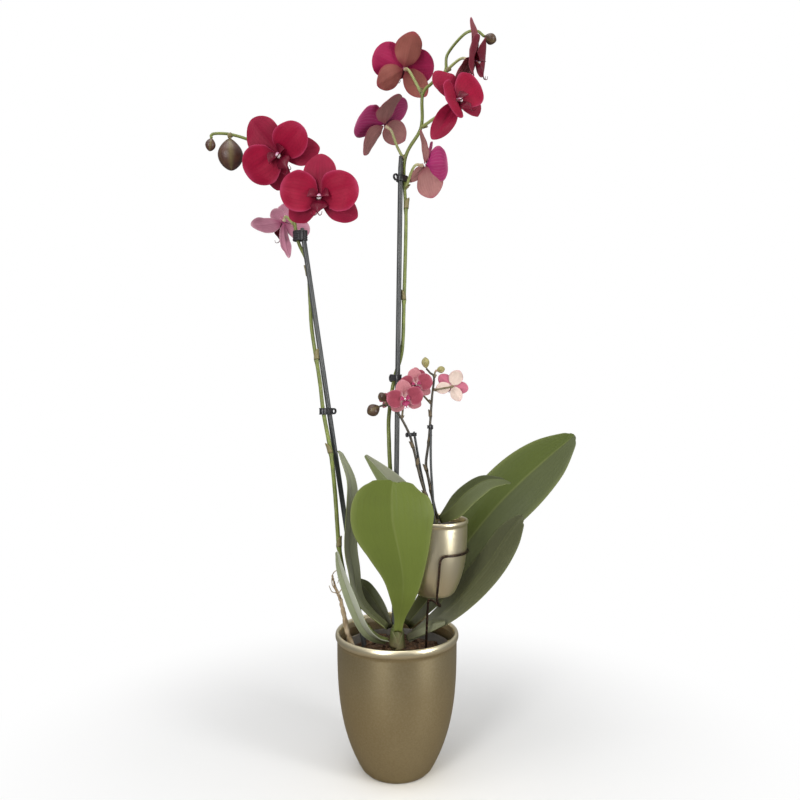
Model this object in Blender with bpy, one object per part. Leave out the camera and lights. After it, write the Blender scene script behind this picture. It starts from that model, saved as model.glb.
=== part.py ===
"""Potted orchid: a moth orchid with two flower spikes in a gold pot, and a miniature one in a small
pot that a bent wire holds above it. Metres, +Z up, origin at the middle of the big pot's foot."""

import math

import bmesh
import bpy
from mathutils import Vector

MM = 0.001

# Big pot
POT_HEIGHT = 145 * MM
POT_BODY_RADIUS = 63 * MM
POT_FOOT_RADIUS = 35.5 * MM
POT_WALL = 3 * MM
POT_FLOOR = 5 * MM
RIM_BEAD_HEIGHT = 8 * MM
RIM_BEAD_OUT = 2.2 * MM
RIM_BEAD_IN = 1 * MM
HEADSPACE = 19 * MM

# Small pot, and where the wire holds it
SMALL_POT_HEIGHT = 79.5 * MM
SMALL_BODY_RADIUS = 34.3 * MM
SMALL_FOOT_RADIUS = 19.3 * MM
SMALL_WALL = 2 * MM
SMALL_FLOOR = 3 * MM
SMALL_BEAD_HEIGHT = 4.4 * MM
SMALL_BEAD_OUT = 1.2 * MM
SMALL_BEAD_IN = 0.6 * MM
SMALL_HEADSPACE = 9 * MM
SMALL_POT_SIDE = 5.7 * MM
SMALL_POT_LIFT = 57 * MM
RING_HEIGHT = 46.5 * MM

# Thin plastic inserts
LINER_WALL = 1 * MM
LINER_GAP = 3.5 * MM
SMALL_LINER_WALL = 0.8 * MM
SMALL_LINER_GAP = 1.4 * MM

# Fits
GAP = 0.3 * MM
HOLE_CLEARANCE = 0.35 * MM
STALK_GAP = 0.7 * MM
LEAF_TO_POT = 12 * MM
ROOT_TO_WALL = 19 * MM

# Where the stakes' outer sides stand from the pot's axis, at the bark
LEFT_STAKE_SIDE = 23.7 * MM
LEFT_STAKE_BACK = 14.7 * MM
RIGHT_STAKE_BACK = 16.7 * MM

# Wires, stakes and stems
WIRE_RADIUS = 1.25 * MM
STAKE_RADIUS = 2.7 * MM
STEM_RADIUS = 2.5 * MM
STEM_TIP_RADIUS = 1.5 * MM
STALK_RADIUS = 1.5 * MM
SMALL_STAKE_RADIUS = 1.3 * MM
SMALL_STEM_RADIUS = 1.7 * MM
SMALL_STALK_RADIUS = 1 * MM
CROWN_RADIUS = 9 * MM
CROWN_HEIGHT = 26 * MM
SMALL_CROWN_RADIUS = 4.2 * MM
SMALL_CROWN_HEIGHT = 8 * MM

# Leaves and flowers
LEAF_THICKNESS = 2.2 * MM
SMALL_LEAF_THICKNESS = 1.8 * MM
TEPAL_THICKNESS = 1.3 * MM
CLIP_WALL = 1.3 * MM

SEGMENTS = 28
POT_CURVE = 3.2

SOIL = POT_HEIGHT - HEADSPACE
SMALL_POT_X = SMALL_POT_SIDE + SMALL_BODY_RADIUS
SMALL_BASE = SOIL + SMALL_POT_LIFT
SMALL_SOIL = SMALL_BASE + SMALL_POT_HEIGHT - SMALL_HEADSPACE


def clear_scene():
    for obj in list(bpy.data.objects):
        bpy.data.objects.remove(obj, do_unlink=True)


def material(name, color, roughness, metallic=0.0):
    made = bpy.data.materials.new(name)
    made.use_nodes = True
    shader = made.node_tree.nodes["Principled BSDF"]
    shader.inputs["Base Color"].default_value = (*color, 1)
    shader.inputs["Roughness"].default_value = roughness
    shader.inputs["Metallic"].default_value = metallic
    return made


def empty(name, location):
    made = bpy.data.objects.new(name, None)
    made.location = location
    bpy.context.scene.collection.objects.link(made)
    return made


def add_object(name, mesh, look, parent):
    made = bpy.data.objects.new(name, mesh)
    bpy.context.scene.collection.objects.link(made)
    made.parent = parent
    if look:
        made.data.materials.append(look)
    return made


def finish_mesh(bm, name):
    """Turns the faces outward and shades the mesh smooth up to sharp creases."""
    bmesh.ops.recalc_face_normals(bm, faces=bm.faces)
    if bm.calc_volume(signed=True) < 0:
        bmesh.ops.reverse_faces(bm, faces=bm.faces)
    mesh = bpy.data.meshes.new(name)
    bm.to_mesh(mesh)
    bm.free()
    mesh.shade_smooth()
    mesh.set_sharp_from_angle(angle=math.radians(40))
    return mesh


def loft_mesh(name, rings, around=False):
    """Skins rings that have the same number of points. The ends are capped, unless the rings close on
    themselves around an axis."""
    bm = bmesh.new()
    rows = [[bm.verts.new(point) for point in ring] for ring in rings]
    count = len(rings[0])
    pairs = list(zip(rows, rows[1:]))
    if around:
        pairs.append((rows[-1], rows[0]))
    for low, high in pairs:
        for i in range(count):
            j = (i + 1) % count
            bm.faces.new((low[i], low[j], high[j], high[i]))
    if not around:
        bm.faces.new(rows[0][::-1])
        bm.faces.new(rows[-1])
    return finish_mesh(bm, name)


def turned(name, outline, look, parent, segments=SEGMENTS):
    """A closed (radius, height) outline turned about Z. A radius of nought is a point on the axis."""
    bm = bmesh.new()
    columns = []
    poles = [bm.verts.new((0, 0, z)) if r == 0 else None for r, z in outline]
    for step in range(segments):
        turn = 2 * math.pi * step / segments
        column = []
        for (r, z), pole in zip(outline, poles):
            column.append(pole or bm.verts.new((r * math.cos(turn), r * math.sin(turn), z)))
        columns.append(column)
    for step in range(segments):
        here, there = columns[step], columns[(step + 1) % segments]
        for i in range(len(outline)):
            j = (i + 1) % len(outline)
            corners = dict.fromkeys((here[i], there[i], there[j], here[j]))
            if len(corners) > 2:
                bm.faces.new(tuple(corners))
    return add_object(name, finish_mesh(bm, name), look, parent)


def smooth_path(points, between=2):
    """Points along a Catmull-Rom curve through the given ones, in metres from millimetres."""
    knots = [Vector(point) * MM for point in points]
    knots = [2 * knots[0] - knots[1], *knots, 2 * knots[-1] - knots[-2]]
    path = []
    for a, b, c, d in zip(knots, knots[1:], knots[2:], knots[3:]):
        for step in range(between):
            t = step / between
            square = (2 * a - 5 * b + 4 * c - d) * t**2
            cube = (3 * b - a - 3 * c + d) * t**3
            path.append((2 * b + (c - a) * t + square + cube) / 2)
    return [*path, knots[-2]]


def at_height(path, height):
    """The point of a rising path at this height."""
    for low, high in zip(path, path[1:]):
        if low.z <= height <= high.z:
            return low.lerp(high, (height - low.z) / (high.z - low.z))
    return path[-1]


def tube_rings(path, radii, sides):
    """Circles across a path. The frame is carried along, so that the tube doesn't twist."""
    rings = []
    side = None
    for i, point in enumerate(path):
        along = (path[min(i + 1, len(path) - 1)] - path[max(i - 1, 0)]).normalized()
        if side is None:
            side = along.orthogonal().normalized()
        side = (side - along * side.dot(along)).normalized()
        other = along.cross(side)
        ring = []
        for step in range(sides):
            turn = 2 * math.pi * step / sides
            ring.append(point + (side * math.cos(turn) + other * math.sin(turn)) * radii[i])
        rings.append(ring)
    return rings


def tube(name, path, start, end, look, parent, sides=7):
    """A round rod along a path, whose radius goes from start to end."""
    last = len(path) - 1
    radii = [start + (end - start) * i / last for i in range(len(path))]
    return add_object(name, loft_mesh(name, tube_rings(path, radii, sides)), look, parent)


def helper(obj):
    obj.hide_render = True
    obj.display_type = "WIRE"
    return obj


def combine(target, other, operation):
    """Joins a helper to the target, or cuts it away."""
    modifier = target.modifiers.new(other.name, "BOOLEAN")
    modifier.object = helper(other)
    modifier.operation = operation
    modifier.solver = "EXACT"


def bore(target, path, radius, parent):
    """Cuts the passage of a rod through the target, a little longer than the rod at both ends."""
    start = path[0] + (path[0] - path[1]).normalized() * GAP * 2
    end = path[-1] + (path[-1] - path[-2]).normalized() * GAP * 2
    passage = [start, *path[1:-1], end]
    cutter = tube(target.name + "_passage", passage, radius, radius, None, parent, sides=10)
    combine(target, cutter, "DIFFERENCE")


def blob(name, centre, along, length, width, look, parent, sides=9, point=1.0):
    """A bud or a knob: an egg of this length and width about an axis. More point draws its end out."""
    along = along.normalized()
    path, radii = [], []
    steps = 6
    for step in range(steps + 1):
        t = (1 - math.cos(math.pi * step / steps)) / 2
        path.append(centre + along * (t - 0.5) * length)
        radii.append(max(width / 2 * math.sin(math.pi * t**point) ** 0.6, 0.06 * width))
    return add_object(name, loft_mesh(name, tube_rings(path, radii, sides)), look, parent)


# Pots and what fills them


def wall_radius(height, pot_height, foot, body):
    """The pot's outside: it swells quickly from its foot and runs up almost straight."""
    rise = min(max(height / pot_height, 0), 1)
    return foot + (body - foot) * (1 - (1 - rise) ** POT_CURVE)


def arc(centre, radius, first, last, steps):
    """Points on a circle in an outline, from one angle in degrees to another."""
    found = []
    for step in range(steps + 1):
        angle = math.radians(first + (last - first) * step / steps)
        found.append((centre[0] + radius * math.cos(angle), centre[1] + radius * math.sin(angle)))
    return found


def pot(name, height, foot, body, wall, floor, bead, look, parent):
    """A tapering pot with a rolled rim. bead is its height, how far it stands out, and how far in."""
    bead_height, bead_out, bead_in = bead
    shoulder = height - bead_height
    foot_round = wall
    outline = arc((foot - foot_round, foot_round), foot_round, -90, -20, 2)
    rise = [0.06, 0.14, 0.24, 0.36, 0.52, 0.74, 1]
    outline += [(wall_radius(z * shoulder, height, foot, body), z * shoulder) for z in rise]
    top = wall_radius(shoulder, height, foot, body)
    outline += arc((top, shoulder + bead_out), bead_out, -60, 0, 2)
    lip = (bead_out + wall - bead_in) / 2
    outline += arc((top + bead_out - lip, height - lip), lip, 0, 180, 5)
    inside = [z for z in reversed(rise) if z * shoulder > floor * 1.5]
    outline += [(wall_radius(z * shoulder, height, foot, body) - wall, z * shoulder) for z in inside]
    outline += [(foot - wall, floor), (0, floor), (0, 0)]
    return turned(name, outline, look, parent)


def liner_radii(foot, body, wall, gap):
    """The insert's outer radius at its foot and at its top."""
    return foot - wall - gap * 0.6, body - wall - gap


def liner(name, base, top, radii, wall, look, parent):
    """A plain tapering plastic insert with a narrow lip."""
    low, high = radii
    lip = wall
    outline = [(low, base), (high, top - lip), (high + lip, top - lip), (high + lip, top)]
    outline += [(high - wall, top), (low - wall, base + wall), (0, base + wall), (0, base)]
    return turned(name, outline, look, parent, segments=24)


def fill(name, base, top, liner_span, radii, wall, dome, look, parent):
    """What the insert holds: a plug with a slightly domed top, level where the crown stands on it.
    liner_span is the insert's bottom and top."""
    low_end, high_end = liner_span

    def inside(height):
        share = (height - low_end) / (high_end - low_end)
        return radii[0] + (radii[1] - radii[0]) * share - wall * 1.1 - GAP

    edge = inside(top - dome)
    outline = [(inside(base), base), (edge, top - dome), (edge * 0.7, top - dome * 0.3), (edge * 0.3, top)]
    outline += [(0, top), (0, base)]
    return turned(name, outline, look, parent, segments=24)


# Leaves


def leaf(name, spine, widths, across, look, parent, thickness=LEAF_THICKNESS, fold=0.12):
    """A blade along its midrib. widths are half-widths, one per spine point, in millimetres, and across
    is the direction of its breadth. fold lifts its edges off the midrib to make a shallow channel."""
    path = smooth_path(spine, between=2)
    halves = smooth_path([(w, 0, 0) for w in widths], between=2)
    across = Vector(across).normalized()
    rings = []
    for i, point in enumerate(path):
        along = (path[min(i + 1, len(path) - 1)] - path[max(i - 1, 0)]).normalized()
        side = (across - along * across.dot(along)).normalized()
        lift = side.cross(along)
        half = max(halves[i].x, thickness * 0.6)
        thick = thickness * min(1, 0.35 + half / (8 * thickness))
        ring = []
        for share, level, up in (
            (-1, 1, 0), (-0.55, 0.42, 0.4), (0, 0, 0.5), (0.55, 0.42, 0.4),
            (1, 1, 0), (0.55, 0.42, -0.4), (0, 0, -0.5), (-0.55, 0.42, -0.4),
        ):
            offset = lift * (fold * half * level + thick * up)
            ring.append(point + side * half * share + offset)
        rings.append(ring)
    return add_object(name, loft_mesh(name, rings), look, parent)


# Flowers

# Each tepal: its angle in the flower's plane, its length and breadth as shares of the flower's
# radius, how far it leans forward in degrees, how blunt it is and, where it has one, its twist.
TEPALS = {
    "dorsal": (90, 1.0, 0.82, -6, 0.58),
    "lateral_a": (-144, 0.98, 0.68, -10, 0.62),
    "lateral_b": (-36, 0.98, 0.68, -10, 0.62),
    "petal_a": (168, 0.97, 0.98, 8, 0.45),
    "petal_b": (12, 0.97, 0.98, 8, 0.45),
}


def flower_frame(facing, roll):
    """The directions of a flower: forward, right and up as seen from in front."""
    forward = Vector(facing).normalized()
    level = Vector((0, 0, 1))
    up = (level - forward * level.dot(forward)).normalized()
    right = up.cross(forward)
    turn = math.radians(roll)
    return (
        forward,
        right * math.cos(turn) + up * math.sin(turn),
        up * math.cos(turn) - right * math.sin(turn),
    )


def tepal_mesh(name, centre, out, forward, length, breadth, blunt, thick):
    """A thin blade whose outline is broadest past its middle and narrows to a claw at the centre."""
    side = forward.cross(out)
    rings = []
    for t in (0.04, 0.2, 0.42, 0.68, 0.88, 1.0):
        claw = min(1, t / 0.16)
        half = breadth / 2 * claw * math.sin(math.pi * min(t, 0.985) ** 1.1) ** blunt
        half = max(half, thick * 0.6)
        point = centre + out * length * t + forward * (length * 0.05 * math.sin(math.pi * t))
        cup = forward * half * 0.1
        rings.append(
            [
                point - side * half + cup,
                point + forward * thick / 2,
                point + side * half + cup,
                point - forward * thick / 2,
            ]
        )
    return loft_mesh(name, rings)


def flower(name, centre, facing, roll, radius, look, parent, changed):
    """One grown piece: five tepals, the lip and the column, joined on a small knob. changed holds the
    tepals that have grown differently in this flower."""
    centre = Vector(centre) * MM
    radius = radius * MM
    forward, right, up = flower_frame(facing, roll)
    thick = min(TEPAL_THICKNESS, radius * 0.05)
    boss = radius * 0.085
    knob_path = [centre + forward * boss * s for s in (-1, -0.3, 1.2, 3.4)]
    knob_radii = [boss * s for s in (0.6, 1, 1, 0.6)]
    made = add_object(name, loft_mesh(name, tube_rings(knob_path, knob_radii, 7)), look, parent)
    for part, (angle, length, breadth, lean, blunt, *twist) in (TEPALS | changed).items():
        turn = math.radians(angle)
        tilt = math.radians(lean)
        flat = right * math.cos(turn) + up * math.sin(turn)
        out = flat * math.cos(tilt) + forward * math.sin(tilt)
        face = forward * math.cos(tilt) - flat * math.sin(tilt)
        spin = math.radians(sum(twist))
        face = face * math.cos(spin) + out.cross(face) * math.sin(spin)
        root = centre + forward * boss * (0.45 if part.startswith("petal") else -0.15)
        mesh = tepal_mesh(name, root, out, face, length * radius, breadth * radius, blunt, thick)
        combine(made, add_object(f"{name}_{part}", mesh, None, parent), "UNION")
    lip_out = (forward * 0.62 - up * 0.78).normalized()
    lip_face = (forward * 0.78 + up * 0.62).normalized()
    lip_root = centre + forward * boss * 0.8
    lip = tepal_mesh(name, lip_root, lip_out, lip_face, radius * 0.5, radius * 0.46, 0.6, thick * 1.6)
    combine(made, add_object(f"{name}_lip", lip, None, parent), "UNION")
    return made


def flower_back(spec):
    """Where the stalk ends, just behind a flower, and the direction it comes from."""
    centre, facing, roll, radius = spec
    forward = Vector(facing).normalized()
    boss = radius * MM * 0.085
    return Vector(centre) * MM - forward * (boss + STALK_GAP), forward


def stalk_points(start, spec):
    """A flower's stalk in millimetres: it leaves the stem and bends round into the flower's back."""
    end, forward = flower_back(spec)
    start = Vector(start)
    end = end / MM
    reach = (end - start).length * 0.35
    return [start, end - forward * reach, end]


# Clips


def clip(name, height, first, second, sizes, loop, look, parent):
    """A one-piece snap clip round two rods. Its plate hugs both rods, and loop is the side and radius
    of the finger ring."""
    path_a, radius_a = first
    path_b, radius_b = second
    a = at_height(path_a, height)
    b = at_height(path_b, height)
    tall, wall = sizes
    bm = bmesh.new()
    corners = []
    for centre, radius in ((a, radius_a), (b, radius_b)):
        for step in range(10):
            turn = 2 * math.pi * step / 10
            reach = radius + HOLE_CLEARANCE + wall
            spot = Vector((centre.x + reach * math.cos(turn), centre.y + reach * math.sin(turn), 0))
            for z in (height - tall / 2, height + tall / 2):
                corners.append(bm.verts.new((spot.x, spot.y, z)))
    hull = bmesh.ops.convex_hull(bm, input=corners)
    bmesh.ops.delete(bm, geom=hull["geom_interior"], context="VERTS")
    made = add_object(name, finish_mesh(bm, name), look, parent)
    if loop:
        side, ring_radius = loop
        thick = wall * 0.75
        anchor = a if side == "first" else b
        rod = (radius_a if side == "first" else radius_b) + HOLE_CLEARANCE + wall
        away = (anchor - (b if side == "first" else a)).normalized()
        away.z = 0
        middle = anchor + away.normalized() * (rod + ring_radius - thick * 0.3)
        middle.z = height
        across = Vector((-away.y, away.x, 0)).normalized()
        rings = []
        for step in range(10):
            turn = 2 * math.pi * step / 10
            out = away.normalized() * math.cos(turn) + Vector((0, 0, 1)) * math.sin(turn)
            spot = middle + out * ring_radius
            section = []
            for corner in range(5):
                spin = 2 * math.pi * corner / 5
                section.append(spot + (out * math.cos(spin) + across * math.sin(spin)) * thick)
            rings.append(section)
        ring = add_object(name + "_loop", loft_mesh(name, rings, around=True), None, parent)
        combine(made, ring, "UNION")
    bore(made, path_a, radius_a + HOLE_CLEARANCE, parent)
    bore(made, path_b, radius_b + HOLE_CLEARANCE, parent)
    return made


clear_scene()

gold = material("champagne_gold", (0.52, 0.43, 0.28), 0.32, 0.85)
plastic_clear = material("liner_plastic", (0.35, 0.35, 0.33), 0.4)
bark = material("bark", (0.13, 0.08, 0.045), 0.9)
moss = material("moss", (0.24, 0.2, 0.11), 0.95)
bronze = material("bronze_wire", (0.06, 0.04, 0.03), 0.35, 0.8)
stake_gray = material("stake_gray", (0.075, 0.08, 0.085), 0.45)
clip_black = material("clip_black", (0.012, 0.012, 0.013), 0.3)
leaf_green = material("leaf_green", (0.115, 0.15, 0.035), 0.4)
leaf_dark = material("leaf_dark", (0.06, 0.08, 0.03), 0.45)
leaf_gray = material("leaf_gray", (0.3, 0.34, 0.22), 0.55)
stem_green = material("stem_green", (0.2, 0.27, 0.06), 0.45)
stem_brown = material("stem_brown", (0.12, 0.09, 0.06), 0.5)
root_brown = material("root_brown", (0.33, 0.26, 0.16), 0.85)
petal_red = material("petal_red", (0.27, 0.01, 0.045), 0.45)
petal_pink = material("petal_pink", (0.42, 0.06, 0.12), 0.45)
bud_brown = material("bud_brown", (0.18, 0.11, 0.07), 0.45)
bud_green = material("bud_green", (0.42, 0.4, 0.13), 0.45)

plant = empty("plant_origin", (0, 0, SOIL))
small_stand = empty("small_pot_origin", (SMALL_POT_X, 0, SMALL_BASE))
small_plant = empty("small_plant_origin", (SMALL_POT_X, 0, SMALL_SOIL))

# Rods first, because what they pass through is cut round them

left_x = (STAKE_RADIUS - LEFT_STAKE_SIDE) / MM
left_y = (LEFT_STAKE_BACK - STAKE_RADIUS) / MM
right_y = (RIGHT_STAKE_BACK - STAKE_RADIUS) / MM
stake_paths = {
    "stake_left": smooth_path(
        [(left_x, left_y, -95), (left_x - 35, left_y - 3.5, 137), (left_x - 80, left_y - 8, 445)]
    ),
    "stake_right": smooth_path(
        [(-5, right_y, -95), (-0.8, right_y, 170), (0.7, right_y, 290), (4, right_y, 525)]
    ),
}
for stake_name, stake_path in stake_paths.items():
    tube(stake_name, stake_path, STAKE_RADIUS, STAKE_RADIUS, stake_gray, plant)

small_stake_paths = {
    "small_stake_left": smooth_path([(-1, 6.5, -32), (-6, 6, 16), (-15.3, 4, 62), (-22, 2.6, 101)]),
    "small_stake_right": smooth_path(
        [(-1, -6.8, -32), (-1.5, -5.6, 18), (-4.2, -2.8, 66), (-4.2, -2.2, 109)]
    ),
}
for stake_name, stake_path in small_stake_paths.items():
    tube(stake_name, stake_path, SMALL_STAKE_RADIUS, SMALL_STAKE_RADIUS, stake_gray, small_plant, sides=6)


def wire_points():
    """A spike out of the bark, a hook under the small pot's foot, a leg up its front, and an open ring."""
    base = SMALL_POT_LIFT / MM
    ring_z = base + RING_HEIGHT / MM
    centre_x = SMALL_POT_X / MM
    seat = wall_radius(RING_HEIGHT, SMALL_POT_HEIGHT, SMALL_FOOT_RADIUS, SMALL_BODY_RADIUS)
    ring = (seat + GAP + WIRE_RADIUS) / MM
    foot = SMALL_FOOT_RADIUS / MM
    points = [(centre_x - 14, -13, -85), (centre_x - 10, -foot + 0.5, 8)]
    points += [(centre_x - 8, -foot - 2, base - 5)]
    points += [(centre_x - 6, -foot - 4, base - 0.5), (centre_x - 2, -foot - 7, base - 0.5)]
    points += [(centre_x + 3, -foot - 11, base - 4), (centre_x + 3.5, -foot - 14, base - 2.5)]
    points += [(centre_x + 0.6, -ring + 0.2, base + 4), (centre_x + 2.5, -ring, base + 28)]
    points += [(centre_x + 4, -ring, ring_z - 4)]
    for angle in range(-76, 216, 16):
        turn = math.radians(angle)
        points.append((centre_x + ring * math.cos(turn), ring * math.sin(turn), ring_z))
    return points


wire_path = smooth_path(wire_points(), between=2)
tube("wire_holder", wire_path, WIRE_RADIUS, WIRE_RADIUS, bronze, plant, sides=7)

# Pots, inserts and what fills them

pot("outer_pot", POT_HEIGHT, POT_FOOT_RADIUS, POT_BODY_RADIUS, POT_WALL, POT_FLOOR,
    (RIM_BEAD_HEIGHT, RIM_BEAD_OUT, RIM_BEAD_IN), gold, None)
pot("small_pot", SMALL_POT_HEIGHT, SMALL_FOOT_RADIUS, SMALL_BODY_RADIUS, SMALL_WALL, SMALL_FLOOR,
    (SMALL_BEAD_HEIGHT, SMALL_BEAD_OUT, SMALL_BEAD_IN), gold, small_stand)

liner_size = liner_radii(POT_FOOT_RADIUS, POT_BODY_RADIUS, POT_WALL, LINER_GAP)
liner_base = POT_FLOOR + GAP
liner_top = SOIL + 2 * MM
liner("nursery_pot", liner_base, liner_top, liner_size, LINER_WALL, plastic_clear, None)
bark_plug = fill("bark_medium", liner_base + LINER_WALL + GAP, SOIL, (liner_base, liner_top), liner_size,
                 LINER_WALL, 4 * MM, bark, None)
for stake_path in stake_paths.values():
    bore(bark_plug, stake_path, STAKE_RADIUS + HOLE_CLEARANCE, plant)
bore(bark_plug, wire_path[:9], WIRE_RADIUS + HOLE_CLEARANCE, plant)

small_liner_size = liner_radii(SMALL_FOOT_RADIUS, SMALL_BODY_RADIUS, SMALL_WALL, SMALL_LINER_GAP)
small_liner_base = SMALL_FLOOR + GAP
small_fill_top = SMALL_POT_HEIGHT - SMALL_HEADSPACE
small_liner_top = small_fill_top + 1 * MM
liner("small_nursery_pot", small_liner_base, small_liner_top, small_liner_size, SMALL_LINER_WALL,
      plastic_clear, small_stand)
moss_plug = fill("small_moss", small_liner_base + SMALL_LINER_WALL + GAP, small_fill_top,
                 (small_liner_base, small_liner_top), small_liner_size, SMALL_LINER_WALL, 2 * MM, moss,
                 small_stand)
for stake_path in small_stake_paths.values():
    bore(moss_plug, stake_path, SMALL_STAKE_RADIUS + HOLE_CLEARANCE, small_plant)

# Crowns and the dry root

turned("crown", [(CROWN_RADIUS, GAP), (CROWN_RADIUS * 0.95, CROWN_HEIGHT * 0.5),
                 (CROWN_RADIUS * 0.6, CROWN_HEIGHT), (0, CROWN_HEIGHT), (0, GAP)],
       stem_green, plant, segments=16)
turned("small_crown", [(SMALL_CROWN_RADIUS, GAP), (SMALL_CROWN_RADIUS * 0.9, SMALL_CROWN_HEIGHT * 0.6),
                       (SMALL_CROWN_RADIUS * 0.6, SMALL_CROWN_HEIGHT), (0, SMALL_CROWN_HEIGHT), (0, GAP)],
       stem_green, small_plant, segments=12)
root_x = (ROOT_TO_WALL - POT_BODY_RADIUS) / MM
root_path = smooth_path(
    [(root_x, -12, 0), (root_x - 5, -9, 10), (root_x - 10, -8, 30), (root_x - 15, -7, 52),
     (root_x - 20, -7, 64), (root_x - 24, -6, 78)]
)
tube("aerial_root", root_path, 3.6 * MM, 0.9 * MM, root_brown, plant, sides=8)

# Leaves: midrib points, half-widths and the direction across, in millimetres from the soil

front_reach = -(SMALL_BODY_RADIUS + SMALL_BEAD_OUT + LEAF_TO_POT) / MM
leaf("leaf_front",
     [(1, -12, 20), (3, -17, 38), (6, -30, 64), (6, -38, 86), (2, front_reach + 3, 112),
      (-4, front_reach, 142), (-5, front_reach, 166), (-4, front_reach, 180)],
     [4, 6, 14, 21, 31, 41, 37, 21], (1, 0, 0), leaf_green, plant, fold=0.1)
leaf("leaf_right_upper",
     [(10, 12, 20), (45, 36, 54), (75, 48, 96), (110, 58, 137), (145, 70, 169), (177, 79, 195),
      (201, 84, 214), (207, 85, 219)],
     [6, 15, 25, 32, 33, 26, 12, 5], (-0.66, 0.25, 0.7), leaf_green, plant)
leaf("leaf_right_lower",
     [(11, 0, 9), (33, 4, 23), (55, 6, 39), (79, 11, 62), (101, 14, 88), (119, 16, 115), (131, 15, 131),
      (135, 14, 135)],
     [5, 10, 16, 21, 22, 19, 10, 4], (-0.45, 0.85, 0.3), leaf_dark, plant)
leaf("leaf_left_edge",
     [(-10, -2, 22), (-30, -4, 40), (-41, -6, 57), (-46, -6, 83), (-50, -6, 110), (-48, -6, 153),
      (-49, -6, 178), (-58, -4, 202), (-61, -3, 208)],
     [5, 7, 9, 12, 13, 12, 9, 5, 2], (0.45, 0.89, 0), leaf_green, plant)
leaf("leaf_left_front",
     [(-10, -7, 8), (-22, -15, 14), (-33, -19, 25), (-42, -21, 44), (-51, -21, 67), (-58, -19, 87),
      (-62, -17, 104)],
     [4, 5, 6, 6.5, 6, 4.5, 2], (0.85, -0.35, 0.4), leaf_gray, plant, fold=0.2)
leaf("leaf_left_back", [(-8, 8, 18), (-20, 20, 36), (-34, 29, 54), (-44, 33, 62)],
     [4, 8, 8, 4], (0.5, 0.3, 0.8), leaf_dark, plant)
leaf("leaf_low_front", [(10, -4, 12), (24, -8, 21), (38, -9, 27), (49, -11, 30)],
     [4, 7, 7, 3], (0.1, 0.8, 0.5), leaf_dark, plant)
leaf("small_leaf_right",
     [(5, -2, 8), (20, -8, 23), (33, -9, 37), (52, -8, 49), (70, -7, 50), (78, -6, 47)],
     [5, 16, 17, 14, 8, 2], (-0.3, 0.85, 0.42), leaf_green, small_plant, SMALL_LEAF_THICKNESS)
leaf("small_leaf_rear",
     [(5, 6, 8), (20, 10, 15), (32, 11, 23), (44, 12, 34), (50, 12, 40)],
     [3, 8, 9, 7, 3], (-0.4, 0.8, 0.5), leaf_dark, small_plant, SMALL_LEAF_THICKNESS)
leaf("small_leaf_left",
     [(-6, 9, 8), (-16, 9, 16), (-32, 8, 32), (-48, 7, 48), (-61, 5, 62), (-73, 3, 75)],
     [4, 9, 12, 11, 7, 2], (0.75, 0.1, 0.66), leaf_gray, small_plant, SMALL_LEAF_THICKNESS)

# Flowers: centre, facing, roll in degrees and radius, in millimetres from the soil

left_flowers = {
    "flower_left_top": ((-120.3, -24, 514.5), (-0.1, -0.85, -0.5), 39, 42.5),
    "flower_left_front": ((-76.4, -38, 466), (-0.14, -0.97, -0.21), -1, 42.5),
    "flower_left_back": ((-123.7, 18, 455), (-0.5, 0.8, -0.35), 0, 38),
}
right_flowers = {
    "flower_right_back_high": ((7.8, 24, 624), (-0.31, 0.79, 0.53), 2, 38),
    "flower_right_back_low": ((-14.1, 22, 562), (-0.67, 0.3, 0.7), -38, 41),
    "flower_right_front": ((60.3, -34, 562.6), (0.52, -0.85, 0.07), 35, 37),
    "flower_right_profile": ((79, -4, 620), (0.92, -0.25, -0.2), 22, 40),
    "flower_right_low": ((29.8, 4, 512), (0.86, 0.44, 0.27), 27, 37),
}
small_flowers = {
    "small_flower_front": ((-31.6, -20, 136), (0.05, -0.98, -0.18), 10, 19.8),
    "small_flower_upper": ((-19.9, -3, 150.3), (0.09, -0.99, 0.1), 8, 18.5),
    "small_flower_right": ((18.7, 7, 149.4), (0.05, 0.99, 0.1), 25, 18.8),
    "small_flower_left": ((-46.8, 1.2, 136), (-0.3, -0.7, 0.65), 20, 13),
    "small_flower_rear": ((-19, 12, 161), (0.2, -0.9, 0.3), 0, 10),
}
changed_tepals = {
    "flower_left_top": {
        "dorsal": (90, 1, 0.9, -6, 0.55),
        "petal_b": (4, 0.93, 0.84, 8, 0.45),
    },
    "flower_left_front": {
        "lateral_a": (-150, 0.98, 0.64, -8, 0.6),
        "lateral_b": (-30, 0.98, 0.64, -8, 0.6),
        "petal_a": (166, 0.97, 0.94, 8, 0.45),
        "petal_b": (14, 0.97, 0.94, 8, 0.45),
    },
    "flower_left_back": {
        "dorsal": (-87, 1.28, 0.32, -4, 0.62),
        "lateral_a": (-20, 1.14, 0.52, -6, 0.6),
        "petal_a": (70, 0.47, 0.5, 0, 0.45),
        "lateral_b": (120, 0.9, 0.6, 10, 0.66),
        "petal_b": (178, 0.9, 0.8, 8, 0.45),
    },
    "flower_right_front": {
        "lateral_a": (-158, 1.28, 0.6, -10, 0.6),
        "lateral_b": (-24, 1, 0.78, -6, 0.6),
        "petal_a": (168, 0.97, 1.04, 34, 0.45),
    },
    "flower_right_low": {
        "dorsal": (90, 1, 0.34, -6, 0.62),
        "lateral_a": (-126, 1, 0.8, -4, 0.6, -48),
        "lateral_b": (-41, 0.9, 0.34, -10, 0.66),
        "petal_b": (12, 0.9, 1, 38, 0.45),
    },
    "small_flower_right": {
        "petal_a": (166, 0.95, 0.72, 4, 0.5),
        "petal_b": (14, 0.95, 0.72, 4, 0.5),
    },
}
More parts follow.
